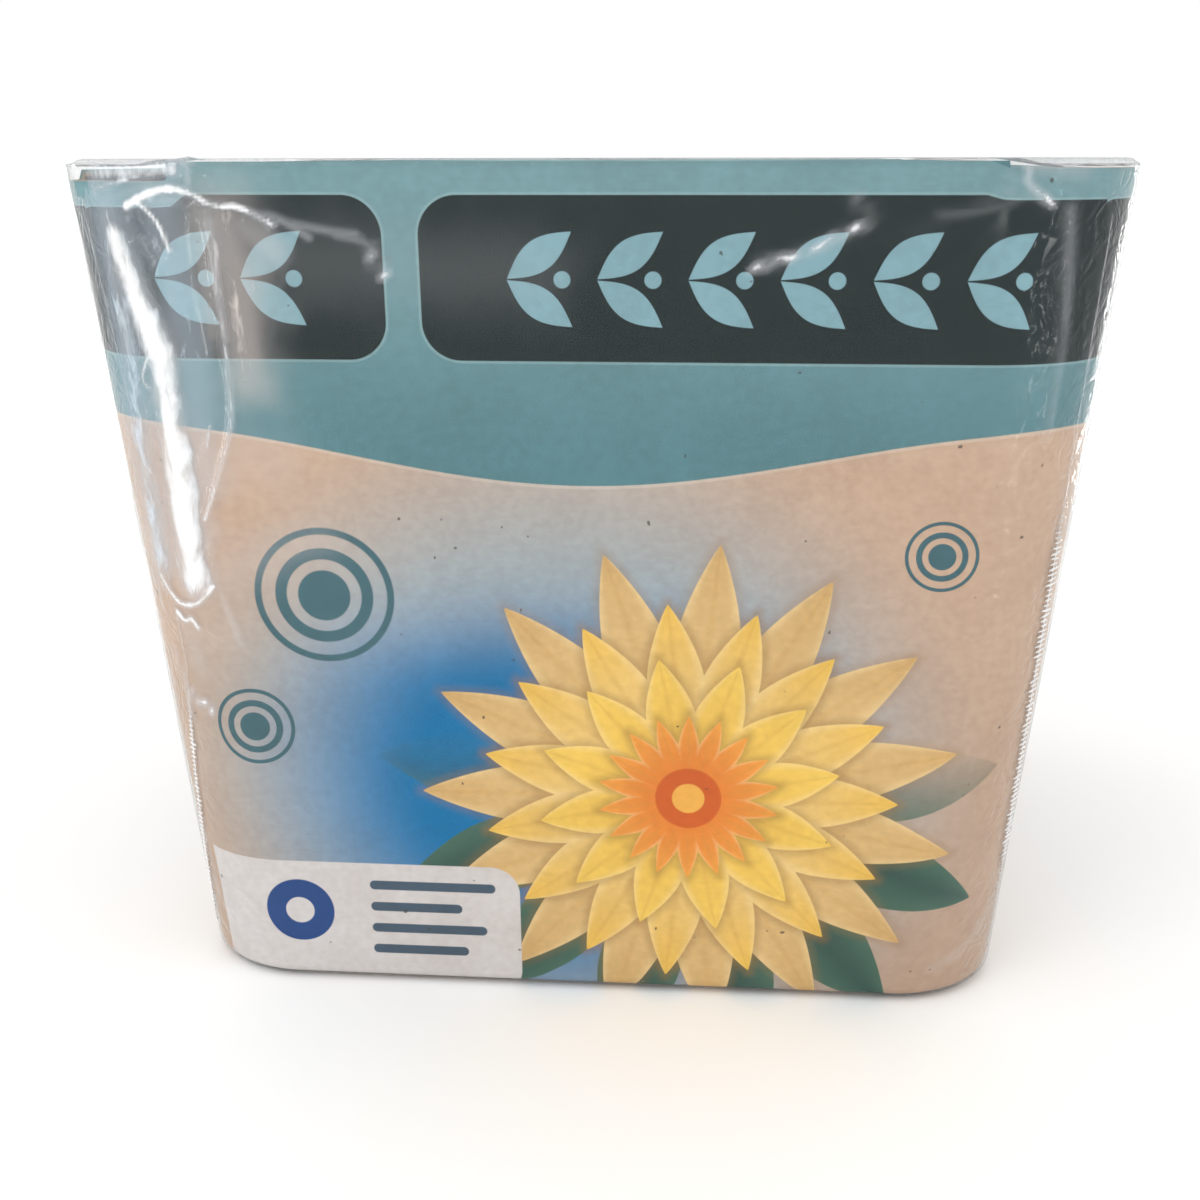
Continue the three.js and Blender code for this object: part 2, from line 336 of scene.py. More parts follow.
def leave(piece, closed=True):
    """Ends edit mode: doubles merged, a closed shape's faces turned outwards, shaded smooth."""
    bpy.ops.mesh.select_all(action="SELECT")
    bpy.ops.mesh.remove_doubles(threshold=MM * 1e-3)
    if closed:
        bpy.ops.mesh.normals_make_consistent(inside=False)
    bpy.ops.object.mode_set(mode="OBJECT")
    bpy.ops.object.shade_smooth()
    return piece


def shell_walls(name, low, high, steps):
    """Starts a piece with the package's walls, from the rows of its lower and upper edge."""
    piece = begin(name)
    rows = low + high[::-1]
    for height, inset in rows:
        outline(piece, height, inset, steps)
    bridge(piece, rows)
    split_band(piece, low[-1][0], high[-1][0], steps[2])
    return piece


def close_shell(piece, low, high, steps):
    """Fills both ends of such walls and ends the piece."""
    close_end(piece, low[0][0], steps)
    close_end(piece, high[0][0], steps)
    return leave(piece)


def node_box(name):
    """A node's lowest and highest corner in millimetres."""
    low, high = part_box(name)
    return np.array(low) / MM, np.array(high) / MM


def read_points(piece):
    """Vertex places of a piece in millimetres."""
    flat = np.empty(len(piece.data.vertices) * 3, np.float32)
    piece.data.vertices.foreach_get("co", flat)
    return flat.reshape(-1, 3).astype(float) / MM


def read_normals(piece):
    """Vertex normals of a piece."""
    flat = np.empty(len(piece.data.vertices) * 3, np.float32)
    piece.data.vertex_normals.foreach_get("vector", flat)
    return flat.reshape(-1, 3).astype(float)


def write_points(piece, points):
    """Sets the vertex places of a piece, given in millimetres."""
    piece.data.vertices.foreach_set("co", (points * MM).astype(np.float32).ravel())
    piece.data.update()


def press_out(piece, points, rise, node, margin):
    """Moves each point along its normal, and keeps it a margin inside the node's box."""
    low, high = node_box(node)
    moved = points + read_normals(piece) * rise[:, None]
    write_points(piece, np.clip(moved, low + margin, high - margin))


def write_attribute(piece, name, kind, domain, values):
    """Adds an attribute to a piece and fills it."""
    attribute = piece.data.attributes.new(name, kind, domain)
    field = "vector" if kind == "FLOAT_VECTOR" else "value"
    attribute.data.foreach_set(field, np.ascontiguousarray(values, np.float32).ravel())


def mark(piece, **values):
    """Writes a number for each vertex under each name, or one number for all of them."""
    for name, value in values.items():
        numbers = np.broadcast_to(value, len(piece.data.vertices))
        write_attribute(piece, name, "FLOAT", "POINT", numbers)


def apply_modifier(piece, kind, **values):
    """Adds a modifier to a piece with these settings, and applies it."""
    bpy.ops.object.select_all(action="DESELECT")
    bpy.context.view_layer.objects.active = piece
    piece.select_set(True)
    modifier = piece.modifiers.new(kind.title(), kind)
    for key, value in values.items():
        setattr(modifier, key, value)
    bpy.ops.object.modifier_apply(modifier=modifier.name)


def smooth_step(value, low, high):
    """Runs smoothly from 0 to 1 as a number goes from low to high."""
    share = np.clip((value - low) / (high - low), 0, 1)
    return share * share * (3 - 2 * share)


def soft_noise(points, size, seed):
    """Smooth noise from -1 to 1 at each point, with bumps of about the given size."""
    shift = Vector((seed * 7.3, seed * 3.1, seed * 5.7))
    return np.array([noise.noise(Vector(point) / size + shift) for point in points])


def rounded_route(route):
    """A route whose corners are cut off twice, so that it runs in a curve."""
    points = np.array(route, float)
    for _ in range(2):
        start, end = points[:-1], points[1:]
        cut = np.empty((2 * len(start), points.shape[1]))
        cut[0::2] = start * 0.75 + end * 0.25
        cut[1::2] = start * 0.25 + end * 0.75
        points = np.vstack((points[:1], cut[1:-1], points[-1:]))
    return points


def stroke(places, route, width, taper=1.0, profile=2.0, least=0.0):
    """How near each place is to a polyline: 1 on it, falling to 0 over the width.

    By the route's end the width has shrunk to the taper's share of it, but never below the
    least. A profile of 2 is round, and one nearer to 1 comes to a ridge.
    """
    nearest = np.full(len(places), 1e9)
    legs = len(route) - 1
    for number, (start, end) in enumerate(zip(route, route[1:])):
        start = np.array(start, float)
        run = np.array(end, float) - start
        share = np.clip((places - start) @ run / (run @ run), 0, 1)
        gap = np.sqrt(((places - start - share[:, None] * run) ** 2).sum(1))
        local = np.maximum(width * (1 - (1 - taper) * (number + share) / legs), least)
        nearest = np.minimum(nearest, gap / local)
    return np.exp(-nearest ** profile)


# --------------------------------------------------------------------------------------------
# Node helpers


class Wire:
    """A node's output that can be used in sums, so that a pattern reads as a formula."""

    def __init__(self, tree, socket):
        self.tree = tree
        self.socket = socket

    def __add__(self, other):
        return maths(self.tree, "ADD", self, other)

    def __radd__(self, other):
        return maths(self.tree, "ADD", other, self)

    def __sub__(self, other):
        return maths(self.tree, "SUBTRACT", self, other)

    def __rsub__(self, other):
        return maths(self.tree, "SUBTRACT", other, self)

    def __mul__(self, other):
        return maths(self.tree, "MULTIPLY", self, other)

    def __rmul__(self, other):
        return maths(self.tree, "MULTIPLY", other, self)

    def __truediv__(self, other):
        return maths(self.tree, "DIVIDE", self, other)


def put(tree, target, value):
    """Links a wire to a socket, or sets a plain value or colour on it."""
    if isinstance(value, Wire):
        tree.links.new(value.socket, target)
    elif target.type == "RGBA":
        target.default_value = (*value, 1.0)
    else:
        target.default_value = value


def maths(tree, operation, *values):
    """A math node, with a wire or number on each input."""
    node = tree.nodes.new("ShaderNodeMath")
    node.operation = operation
    for target, value in zip(node.inputs, values):
        put(tree, target, value)
    return Wire(tree, node.outputs[0])


def call(name, first, *rest):
    """A math node by its operation, in the first wire's tree."""
    return maths(first.tree, name, first, *rest)


def colour_socket(sockets, name):
    """The colour socket of a name, where a Mix node has one for each kind of data."""
    return next(entry for entry in sockets if entry.name == name and entry.type == "RGBA")


def blend_colours(factor, base, over, mode="MIX"):
    """One colour laid over another, as far as the factor goes."""
    tree = factor.tree
    node = tree.nodes.new("ShaderNodeMix")
    node.data_type = "RGBA"
    node.blend_type = mode
    put(tree, node.inputs["Factor"], factor)
    put(tree, colour_socket(node.inputs, "A"), base)
    put(tree, colour_socket(node.inputs, "B"), over)
    return Wire(tree, colour_socket(node.outputs, "Result"))


def darker(tone, share):
    """A colour at a share of its brightness."""
    return tuple(share * part for part in tone)


def mottled(value, low, high, tone, share):
    """A colour that goes from a share of its brightness to all of it as the value rises."""
    return blend_colours(ramp(value, low, high), darker(tone, share), tone)


def ramp(value, low, high):
    """Runs smoothly from 0 to 1 as a wire's value goes from low to high."""
    node = value.tree.nodes.new("ShaderNodeMapRange")
    node.interpolation_type = "SMOOTHSTEP"
    put(value.tree, node.inputs["Value"], value)
    put(value.tree, node.inputs["From Min"], low)
    put(value.tree, node.inputs["From Max"], high)
    return Wire(value.tree, node.outputs["Result"])


def grain(tree, vector, scale, detail=2.0, roughness=0.5, distortion=0.0):
    """Noise round 0.5 at the given scale."""
    node = tree.nodes.new("ShaderNodeTexNoise")
    put(tree, node.inputs["Vector"], vector)
    node.inputs["Scale"].default_value = scale
    node.inputs["Detail"].default_value = detail
    node.inputs["Roughness"].default_value = roughness
    node.inputs["Distortion"].default_value = distortion
    return Wire(tree, node.outputs["Fac"])


def attribute(tree, name, output):
    """One output of a mesh attribute."""
    node = tree.nodes.new("ShaderNodeAttribute")
    node.attribute_name = name
    return Wire(tree, node.outputs[output])


def axes(vector):
    """The three parts of a vector."""
    node = vector.tree.nodes.new("ShaderNodeSeparateXYZ")
    put(vector.tree, node.inputs[0], vector)
    return [Wire(vector.tree, out) for out in node.outputs]


def stretched(vector, factors):
    """The vector with each axis multiplied, so that a pattern on it is squeezed or drawn out."""
    node = vector.tree.nodes.new("ShaderNodeVectorMath")
    node.operation = "MULTIPLY"
    put(vector.tree, node.inputs[0], vector)
    node.inputs[1].default_value = factors
    return Wire(vector.tree, node.outputs[0])


def object_place(tree):
    """The spot's place on the object, in metres."""
    node = tree.nodes.new("ShaderNodeTexCoord")
    return Wire(tree, node.outputs["Object"])


def bump(height, strength, distance):
    """A normal that follows a height, over a distance in metres."""
    node = height.tree.nodes.new("ShaderNodeBump")
    put(height.tree, node.inputs["Height"], height)
    node.inputs["Strength"].default_value = strength
    node.inputs["Distance"].default_value = distance
    return Wire(height.tree, node.outputs["Normal"])


def new_group(name, inputs, outputs):
    """A shader node group, with its input wires by name and a call that sets its outputs."""
    group = bpy.data.node_groups.new(name, "ShaderNodeTree")
    for label, kind, default in inputs:
        socket = group.interface.new_socket(label, in_out="INPUT", socket_type=kind)
        if default is not None:
            socket.default_value = default
    for label, kind in outputs:
        group.interface.new_socket(label, in_out="OUTPUT", socket_type=kind)
    start = group.nodes.new("NodeGroupInput")
    end = group.nodes.new("NodeGroupOutput")
    wires = {label: Wire(group, start.outputs[label]) for label, _, _ in inputs}
    return group, wires, lambda label, value: put(group, end.inputs[label], value)


def place_group(tree, group, **values):
    """Places a node group with these inputs, and gives its outputs by name."""
    node = tree.nodes.new("ShaderNodeGroup")
    node.node_tree = group
    for label, value in values.items():
        put(tree, node.inputs[label.replace("_", " ")], value)
    return {out.name: Wire(tree, out) for out in node.outputs}


def new_material(name):
    """An empty node material, its tree and its output node."""
    material = bpy.data.materials.new(name)
    material.use_nodes = True
    material.node_tree.nodes.clear()
    output = material.node_tree.nodes.new("ShaderNodeOutputMaterial")
    return material, material.node_tree, output


def principled(tree, output, **values):
    """A Principled shader with these inputs, linked to the output if there is one."""
    shader = tree.nodes.new("ShaderNodeBsdfPrincipled")
    for label, value in values.items():
        put(tree, shader.inputs[label.replace("_", " ")], value)
    if output is not None:
        tree.links.new(shader.outputs[0], output.inputs["Surface"])
    return shader


def mix_shaders(tree, factor, first, second):
    """A shader that goes from the first to the second as the factor goes from 0 to 1."""
    node = tree.nodes.new("ShaderNodeMixShader")
    put(tree, node.inputs["Fac"], factor)
    tree.links.new(first.outputs[0], node.inputs[1])
    tree.links.new(second.outputs[0], node.inputs[2])
    return node


# --------------------------------------------------------------------------------------------
# Printed pattern


def petal_ring_group():
    """Pointed petals round a centre: mask, shade beside them, share along a petal and across."""
    group, wire, give = new_group(
        "Petal Ring",
        [
            ("Along", "NodeSocketFloat", 0.0), ("Up", "NodeSocketFloat", 0.0),
            ("Count", "NodeSocketFloat", 12.0), ("Twist", "NodeSocketFloat", 0.0),
            ("Inner", "NodeSocketFloat", 10.0), ("Outer", "NodeSocketFloat", 40.0),
            ("Width", "NodeSocketFloat", 6.0), ("Edge", "NodeSocketFloat", 0.25),
        ],
        [("Mask", "NodeSocketFloat"), ("Shadow", "NodeSocketFloat"),
         ("Share", "NodeSocketFloat"), ("Across", "NodeSocketFloat")],
    )
    x, y = wire["Along"], wire["Up"]
    radius = call("SQRT", x * x + y * y)
    turns = (call("ARCTAN2", y, x) / (2 * math.pi) + wire["Twist"]) * wire["Count"]
    folded = call("FRACT", turns) - 0.5
    angle = folded * (2 * math.pi) / wire["Count"]
    along = radius * call("COSINE", angle)
    across = radius * call("SINE", angle)
    share = (along - wire["Inner"]) / (wire["Outer"] - wire["Inner"])
    inside = call("MAXIMUM", call("MINIMUM", share, 1.0), 0.0)
    bow = call("SINE", call("POWER", inside, 0.8) * math.pi)
    half = wire["Width"] * call("POWER", call("MAXIMUM", bow, 0.0), 0.85)
    gap = half - call("ABSOLUTE", across)
    give("Mask", ramp(gap, 0.02, wire["Edge"]))
    beyond = ramp(along - wire["Outer"], 0.0, 2.4)
    give("Shadow", ramp(gap, -2.4, 0.2) * (1.0 - beyond))
    give("Share", inside)
    give("Across", call("ABSOLUTE", across) / (half + 0.01))
    return group


def rounded_bar_group():
    """A rounded rectangle: its mask, from its middle, half sizes and corner radius."""
    group, wire, give = new_group(
        "Rounded Bar",
        [
            ("Along", "NodeSocketFloat", 0.0), ("Up", "NodeSocketFloat", 0.0),
            ("Half Width", "NodeSocketFloat", 10.0), ("Half Height", "NodeSocketFloat", 5.0),
            ("Radius", "NodeSocketFloat", 2.0), ("Edge", "NodeSocketFloat", 0.25),
        ],
        [("Mask", "NodeSocketFloat")],
    )
    radius = wire["Radius"]
    x = call("MAXIMUM", call("ABSOLUTE", wire["Along"]) - wire["Half Width"] + radius, 0.0)
    y = call("MAXIMUM", call("ABSOLUTE", wire["Up"]) - wire["Half Height"] + radius, 0.0)
    gap = radius - call("SQRT", x * x + y * y)
    give("Mask", ramp(gap, wire["Edge"] * -0.5, wire["Edge"] * 0.5))
    return group


def leaf_row_group():
    """A garland: pairs of pointed leaves leaning off a level line, with a dot between pairs."""
    group, wire, give = new_group(
        "Leaf Row",
        [
            ("Along", "NodeSocketFloat", 0.0), ("Up", "NodeSocketFloat", 0.0),
            ("Pitch", "NodeSocketFloat", 14.0), ("Length", "NodeSocketFloat", 13.0),
            ("Width", "NodeSocketFloat", 2.6), ("Lean", "NodeSocketFloat", 0.6),
        ],
        [("Mask", "NodeSocketFloat")],
    )
    pitch = wire["Pitch"]
    cell = (call("FRACT", wire["Along"] / pitch) - 0.5) * pitch
    up = call("ABSOLUTE", wire["Up"])
    cosine = call("COSINE", wire["Lean"])
    sine = call("SINE", wire["Lean"])
    x = cell + pitch * 0.32
    along = (x * cosine + up * sine) / wire["Length"]
    across = call("ABSOLUTE", up * cosine - x * sine)
    inside = call("MAXIMUM", call("MINIMUM", along, 1.0), 0.0)
    half = wire["Width"] * call("SINE", inside * math.pi)
    leaf = ramp(half - across, 0.02, 0.24)
    dot = call("SQRT", (cell - pitch * 0.3) * (cell - pitch * 0.3) + up * up)
    give("Mask", call("MAXIMUM", leaf, ramp(1.5 - dot, -0.12, 0.12)))
    return group


def ripple_group():
    """Ripple rings round a small disc, each thinner than the one inside it."""
    group, wire, give = new_group(
        "Ripple",
        [
            ("Along", "NodeSocketFloat", 0.0), ("Up", "NodeSocketFloat", 0.0),
            ("Size", "NodeSocketFloat", 16.0),
        ],
        [("Mask", "NodeSocketFloat")],
    )
    x, y = wire["Along"], wire["Up"]
    share = call("SQRT", x * x + y * y) / wire["Size"]
    disc = ramp(0.34 - share, -0.012, 0.012)
    near = ramp(0.075 - call("ABSOLUTE", share - 0.56), -0.012, 0.012)
    far = ramp(0.045 - call("ABSOLUTE", share - 0.86), -0.012, 0.012)
    give("Mask", call("MAXIMUM", disc, call("MAXIMUM", near, far)))
    return group


def kraft_group():
    """Mottle and fibres of kraft card: a value round 0.5, and a finer one for its bump."""
    group, wire, give = new_group(
        "Kraft Fibre",
        [("Vector", "NodeSocketVector", None)],
        [("Mottle", "NodeSocketFloat"), ("Fibre", "NodeSocketFloat")],
    )
    broad = grain(group, wire["Vector"], 560.0, 2.0, 0.55)
    cloud = grain(group, wire["Vector"], 60.0, 2.0)
    fibre = grain(group, stretched(wire["Vector"], (1.0, 1.0, 2.6)), 480.0, 1.0, 0.5, 0.6)
    give("Mottle", broad * 0.4 + cloud * 0.42 + fibre * 0.18)
    give("Fibre", fibre)
    return group


class Print:
    """The print: where a spot lies on it, the shapes it is made of and the ink laid so far.

    Along is the distance from the panel's middle line and up the height, both in millimetres,
    and share is how far round its panel a spot lies, from -0.5 to 0.5. On the end panels along
    and up are x and y, and share is 0.
    """

    def __init__(self, tree):
        self.tree = tree
        self.along, self.up, self.share = axes(attribute(tree, "print", "Vector"))
        self.panel = attribute(tree, "panel", "Fac")
        self.walls = call("LESS_THAN", self.panel, TOP_PANEL - 0.5)
        self.faces = self.on_panel(0) + self.on_panel(2)
        self.sides = self.on_panel(1) + self.on_panel(3)
        self.petals = petal_ring_group()
        self.bars = rounded_bar_group()
        self.leaves = leaf_row_group()
        self.ripples = ripple_group()
        self.ink = None

    def lay(self, mask, tone):
        """Prints a tone over the ink that is there, as far as the mask goes."""
        self.ink = blend_colours(mask, self.ink, tone)

    def on_panel(self, number):
        """1 on the panel of a number and 0 elsewhere."""
        return maths(self.tree, "COMPARE", self.panel, float(number), 0.5)

    def bar(self, middle, half, radius):
        """Mask of a bar with rounded corners, from its middle and half sizes."""
        placed = place_group(
            self.tree, self.bars, Along=self.along - middle[0], Up=self.up - middle[1],
            Half_Width=half[0], Half_Height=half[1], Radius=radius,
        )
        return placed["Mask"]

    def disc(self, middle, radius):
        """Mask of a disc."""
        return self.bar(middle, (radius, radius), radius)

    def ripple(self, middle, size):
        """Mask of a ripple, whose outermost ring reaches nearly to its size."""
        placed = place_group(
            self.tree, self.ripples,
            Along=self.along - middle[0], Up=self.up - middle[1], Size=size,
        )
        return placed["Mask"]

    def ring(self, middle, count, twist, inner, outer, width):
        """A ring of petals round a middle, as its group's outputs by name."""
        return place_group(
            self.tree, self.petals, Along=self.along - middle[0], Up=self.up - middle[1],
            Count=float(count), Twist=twist, Inner=inner, Outer=outer, Width=width,
        )


# Places on the print, as (along, up), and sizes on it, in millimetres.
ROSETTE = (20.0, 45.0)
GLOW = (-6.0, 48.0)
RIPPLES = (((-50.0, 86.0), 15.0), ((-66.0, 58.0), 9.0), ((66.0, 96.0), 7.5))
PANEL_MIDDLE = (-52.0, 13.0)
PANEL_HALF = (38.0, 15.0)
MARK = (-60.0, 16.5)
SWAG_LEVEL = 114.0
SWAG_DIP = 5.5
BELT_LEVEL = 146.0
BELT_HALF = 14.5
# Middle and half width of the belt's long and short piece, and of the leaf rows on them.
BELT_PIECES = ((35.5, 64.0), (-66.0, 31.0))
LEAF_ROWS = ((32.0, 48.0), (-64.0, 16.0))


def lay_glowing_kraft(art, tint):
    """Kraft ground, darkened towards its foot by painted shade, with the blue glow that fades into
    it.
    """
    # Painted shade: the kraft darkens towards the foot of the walls.
    art.ink = mottled(art.up, 0.0, 110.0, tint.kraft, 0.86)
    x, y = art.along - GLOW[0], (art.up - GLOW[1]) * 1.08
    distance = call("SQRT", x * x + y * y)
    pale = (1.0 - ramp(distance, 44.0, 88.0)) * art.faces
    art.lay(pale * 0.9, tint.glow_edge)
    deep = (1.0 - ramp(distance, 26.0, 70.0)) * (1.0 - ramp(art.up, 66.0, 100.0)) * art.faces
    art.lay(deep, tint.glow)


def lay_rosette(art, tint):
    """Leaves below, then four rings of petals and a heart, each shading the last."""
    leaf = art.ring(ROSETTE, 13, 0.02, 22.0, 62.0, 8.5)
    green = blend_colours(leaf["Across"] * 0.5, tint.leaf, srgb(88, 124, 104))
    low = 1.0 - ramp(art.up, 34.0, 62.0)
    art.lay(leaf["Mask"] * low * art.faces, green)
    # Petals, twist in turns, inner and outer radius, half width, colours at base and tip, shade.
    rings = (
        (15, 0.0, 12.0, 53.0, 6.6, tint.petal, srgb(206, 168, 110), 0.28),
        (15, 0.0333, 10.0, 41.0, 5.8, tint.petal, tint.petal_warm, 0.45),
        (12, 0.01, 7.0, 30.0, 5.0, tint.petal_warm, srgb(238, 200, 96), 0.4),
        (18, 0.0, 4.0, 18.0, 2.3, tint.heart, srgb(236, 160, 70), 0.45),
    )
    for count, twist, inner, outer, width, base, tip, shade in rings:
        ring = art.ring(ROSETTE, count, twist, inner, outer, width)
        art.lay(ring["Shadow"] * shade * art.faces, srgb(150, 112, 60))
        vein = 1.0 - ramp(ring["Across"], 0.0, 0.22)
        petal = blend_colours(ring["Share"], base, tip)
        petal = blend_colours(vein * 0.22, petal, srgb(196, 146, 70))
        petal = blend_colours(ramp(ring["Across"], 0.55, 1.0) * 0.35, petal, srgb(244, 222, 170))
        art.lay(ring["Mask"] * art.faces, petal)
    art.lay(art.disc(ROSETTE, 6.5) * art.faces, srgb(206, 96, 36))
    art.lay(art.disc(ROSETTE, 3.2) * art.faces, srgb(238, 176, 80))


def lay_front_marks(art, tint):
    """Ripples on the kraft, and low on the left an off-white panel with a ring and bars."""
    for middle, size in RIPPLES:
        art.lay(art.ripple(middle, size) * art.faces, tint.ripple)
    art.lay(art.bar(PANEL_MIDDLE, PANEL_HALF, 6.0) * art.faces, tint.panel)
    art.lay(art.disc(MARK, 7.2) * art.faces, tint.mark)
    art.lay(art.disc(MARK, 3.0) * art.faces, tint.panel)
    for row, length in enumerate((13.0, 9.5, 12.0, 10.0)):
        bar = art.bar((-45.0 + length, 23.0 - 5.0 * row), (length, 1.05), 1.05)
        art.lay(bar * art.faces, srgb(70, 88, 104))


def lay_side_list(art, tint):
    """A tall off-white panel on the sides, with three rows of a ripple and bars."""
    art.lay(art.bar((0.0, 54.0), (56.0, 38.0), 8.0) * art.sides, tint.panel)
    for row in range(3):
        level = 79.0 - 25.0 * row
        art.lay(art.ripple((-38.0, level), 10.5) * art.sides, tint.ripple)
        for line, length in enumerate((33.0, 27.0, 30.0)):
            bar = art.bar((-20.0 + length, level + 5.5 - 5.5 * line), (length, 1.0), 1.0)
            art.lay(bar * art.sides, srgb(104, 116, 124))


def lay_teal_field(art, teal):
    """Teal from the top of the walls down to the swag, along which runs a thin pale line."""
    above = art.up - (SWAG_LEVEL - SWAG_DIP * call("COSINE", art.share * (2 * math.pi)))
    upper = ramp(above, -0.12, 0.12)
    keyline = ramp(above, -0.75, -0.5) * (1.0 - upper)
    art.lay(keyline * 0.35 * art.walls, srgb(214, 208, 196))
    art.lay(upper * art.walls, teal)


def lay_belt(art, tint):
    """The slate belt in its two pieces, each with a pale rim and its row of leaves."""
    def pieces(rim, corner):
        bars = [
            art.bar((middle, BELT_LEVEL), (half + rim, BELT_HALF + rim), corner)
            for middle, half in BELT_PIECES
        ]
        return call("MAXIMUM", *bars) * art.walls
    art.lay(pieces(0.45, 7.4) * 0.4, srgb(158, 186, 188))
    art.lay(pieces(0.0, 7.0), tint.slate)
    leaves = place_group(
        art.tree, art.leaves, Along=art.along, Up=art.up - BELT_LEVEL,
        Pitch=16.0, Length=14.5, Width=2.9, Lean=0.62,
    )["Mask"]
    rows = [
        call("LESS_THAN", call("ABSOLUTE", art.along - middle), half)
        for middle, half in LEAF_ROWS
    ]
    art.lay(leaves * call("MAXIMUM", *rows) * art.walls, tint.belt_leaf)


def lay_ends(art, tint, teal):
    """Top flaps in teal with one large petal ring round a ripple, and bare base flaps."""
    crown = art.ring((0.0, 0.0), 16, 0.0, 14.0, 52.0, 6.5)
    lid = blend_colours(crown["Mask"], teal, srgb(134, 168, 172))
    lid = blend_colours(art.ripple((0.0, 0.0), 15.0), lid, tint.slate)
    art.lay(art.on_panel(TOP_PANEL), lid)
    art.lay(art.on_panel(BASE_PANEL), tint.bare)


def printed_colour(tree, tint, mottle):
    """The whole print as one colour, laid from the kraft ground upwards."""
    art = Print(tree)
    teal = blend_colours(
        ramp(art.up, 104.0, 166.0), darker(tint.teal, 0.93), srgb(116, 153, 159)
    )
    lay_glowing_kraft(art, tint)
    lay_rosette(art, tint)
    lay_front_marks(art, tint)
    lay_side_list(art, tint)
    lay_teal_field(art, teal)
    lay_belt(art, tint)
    lay_ends(art, tint, teal)
    # The card's mottle shows through the ink.
    light = ramp(mottle, 0.3, 0.7)
    return blend_colours((1.0 - light) * 0.25, art.ink, srgb(168, 150, 138), "MULTIPLY")


def printed_card_material(tint):
    """Satin printed card with rubbed spots and specks, and bare kraft where it isn't printed."""
    material, tree, output = new_material("printed_kraft_card")
    place = object_place(tree)
    kraft = place_group(tree, kraft_group(), Vector=place)
    ink = printed_colour(tree, tint, kraft["Mottle"])
    printed = attribute(tree, "printed", "Fac")
    bare = mottled(kraft["Mottle"], 0.3, 0.7, tint.bare, 0.8)
    wear = attribute(tree, "wear", "Fac")
    rub = ramp(grain(tree, place, 700.0, 2.0, 0.6) + wear * 0.42, 0.78, 0.86)
    specks = ramp(grain(tree, place, 620.0, 0.0, 0.4), 0.864, 0.876)
    surface = blend_colours(printed, bare, ink)
    surface = blend_colours(rub * printed * 0.8, surface, srgb(206, 190, 170))
    surface = blend_colours(specks * 0.75, surface, srgb(66, 62, 56))
    height = bump(kraft["Fibre"], 0.05, 0.0001)
    rough = 0.62 - printed * 0.12 + rub * 0.2
    principled(
        tree, output, Base_Color=surface, Roughness=rough, Normal=height, Specular_IOR_Level=0.12
    )
    return material


# --------------------------------------------------------------------------------------------
# Shrink film


# Least half width of a crease: a finer one would fall between the film's vertices.
LEAST_CREASE = 0.85
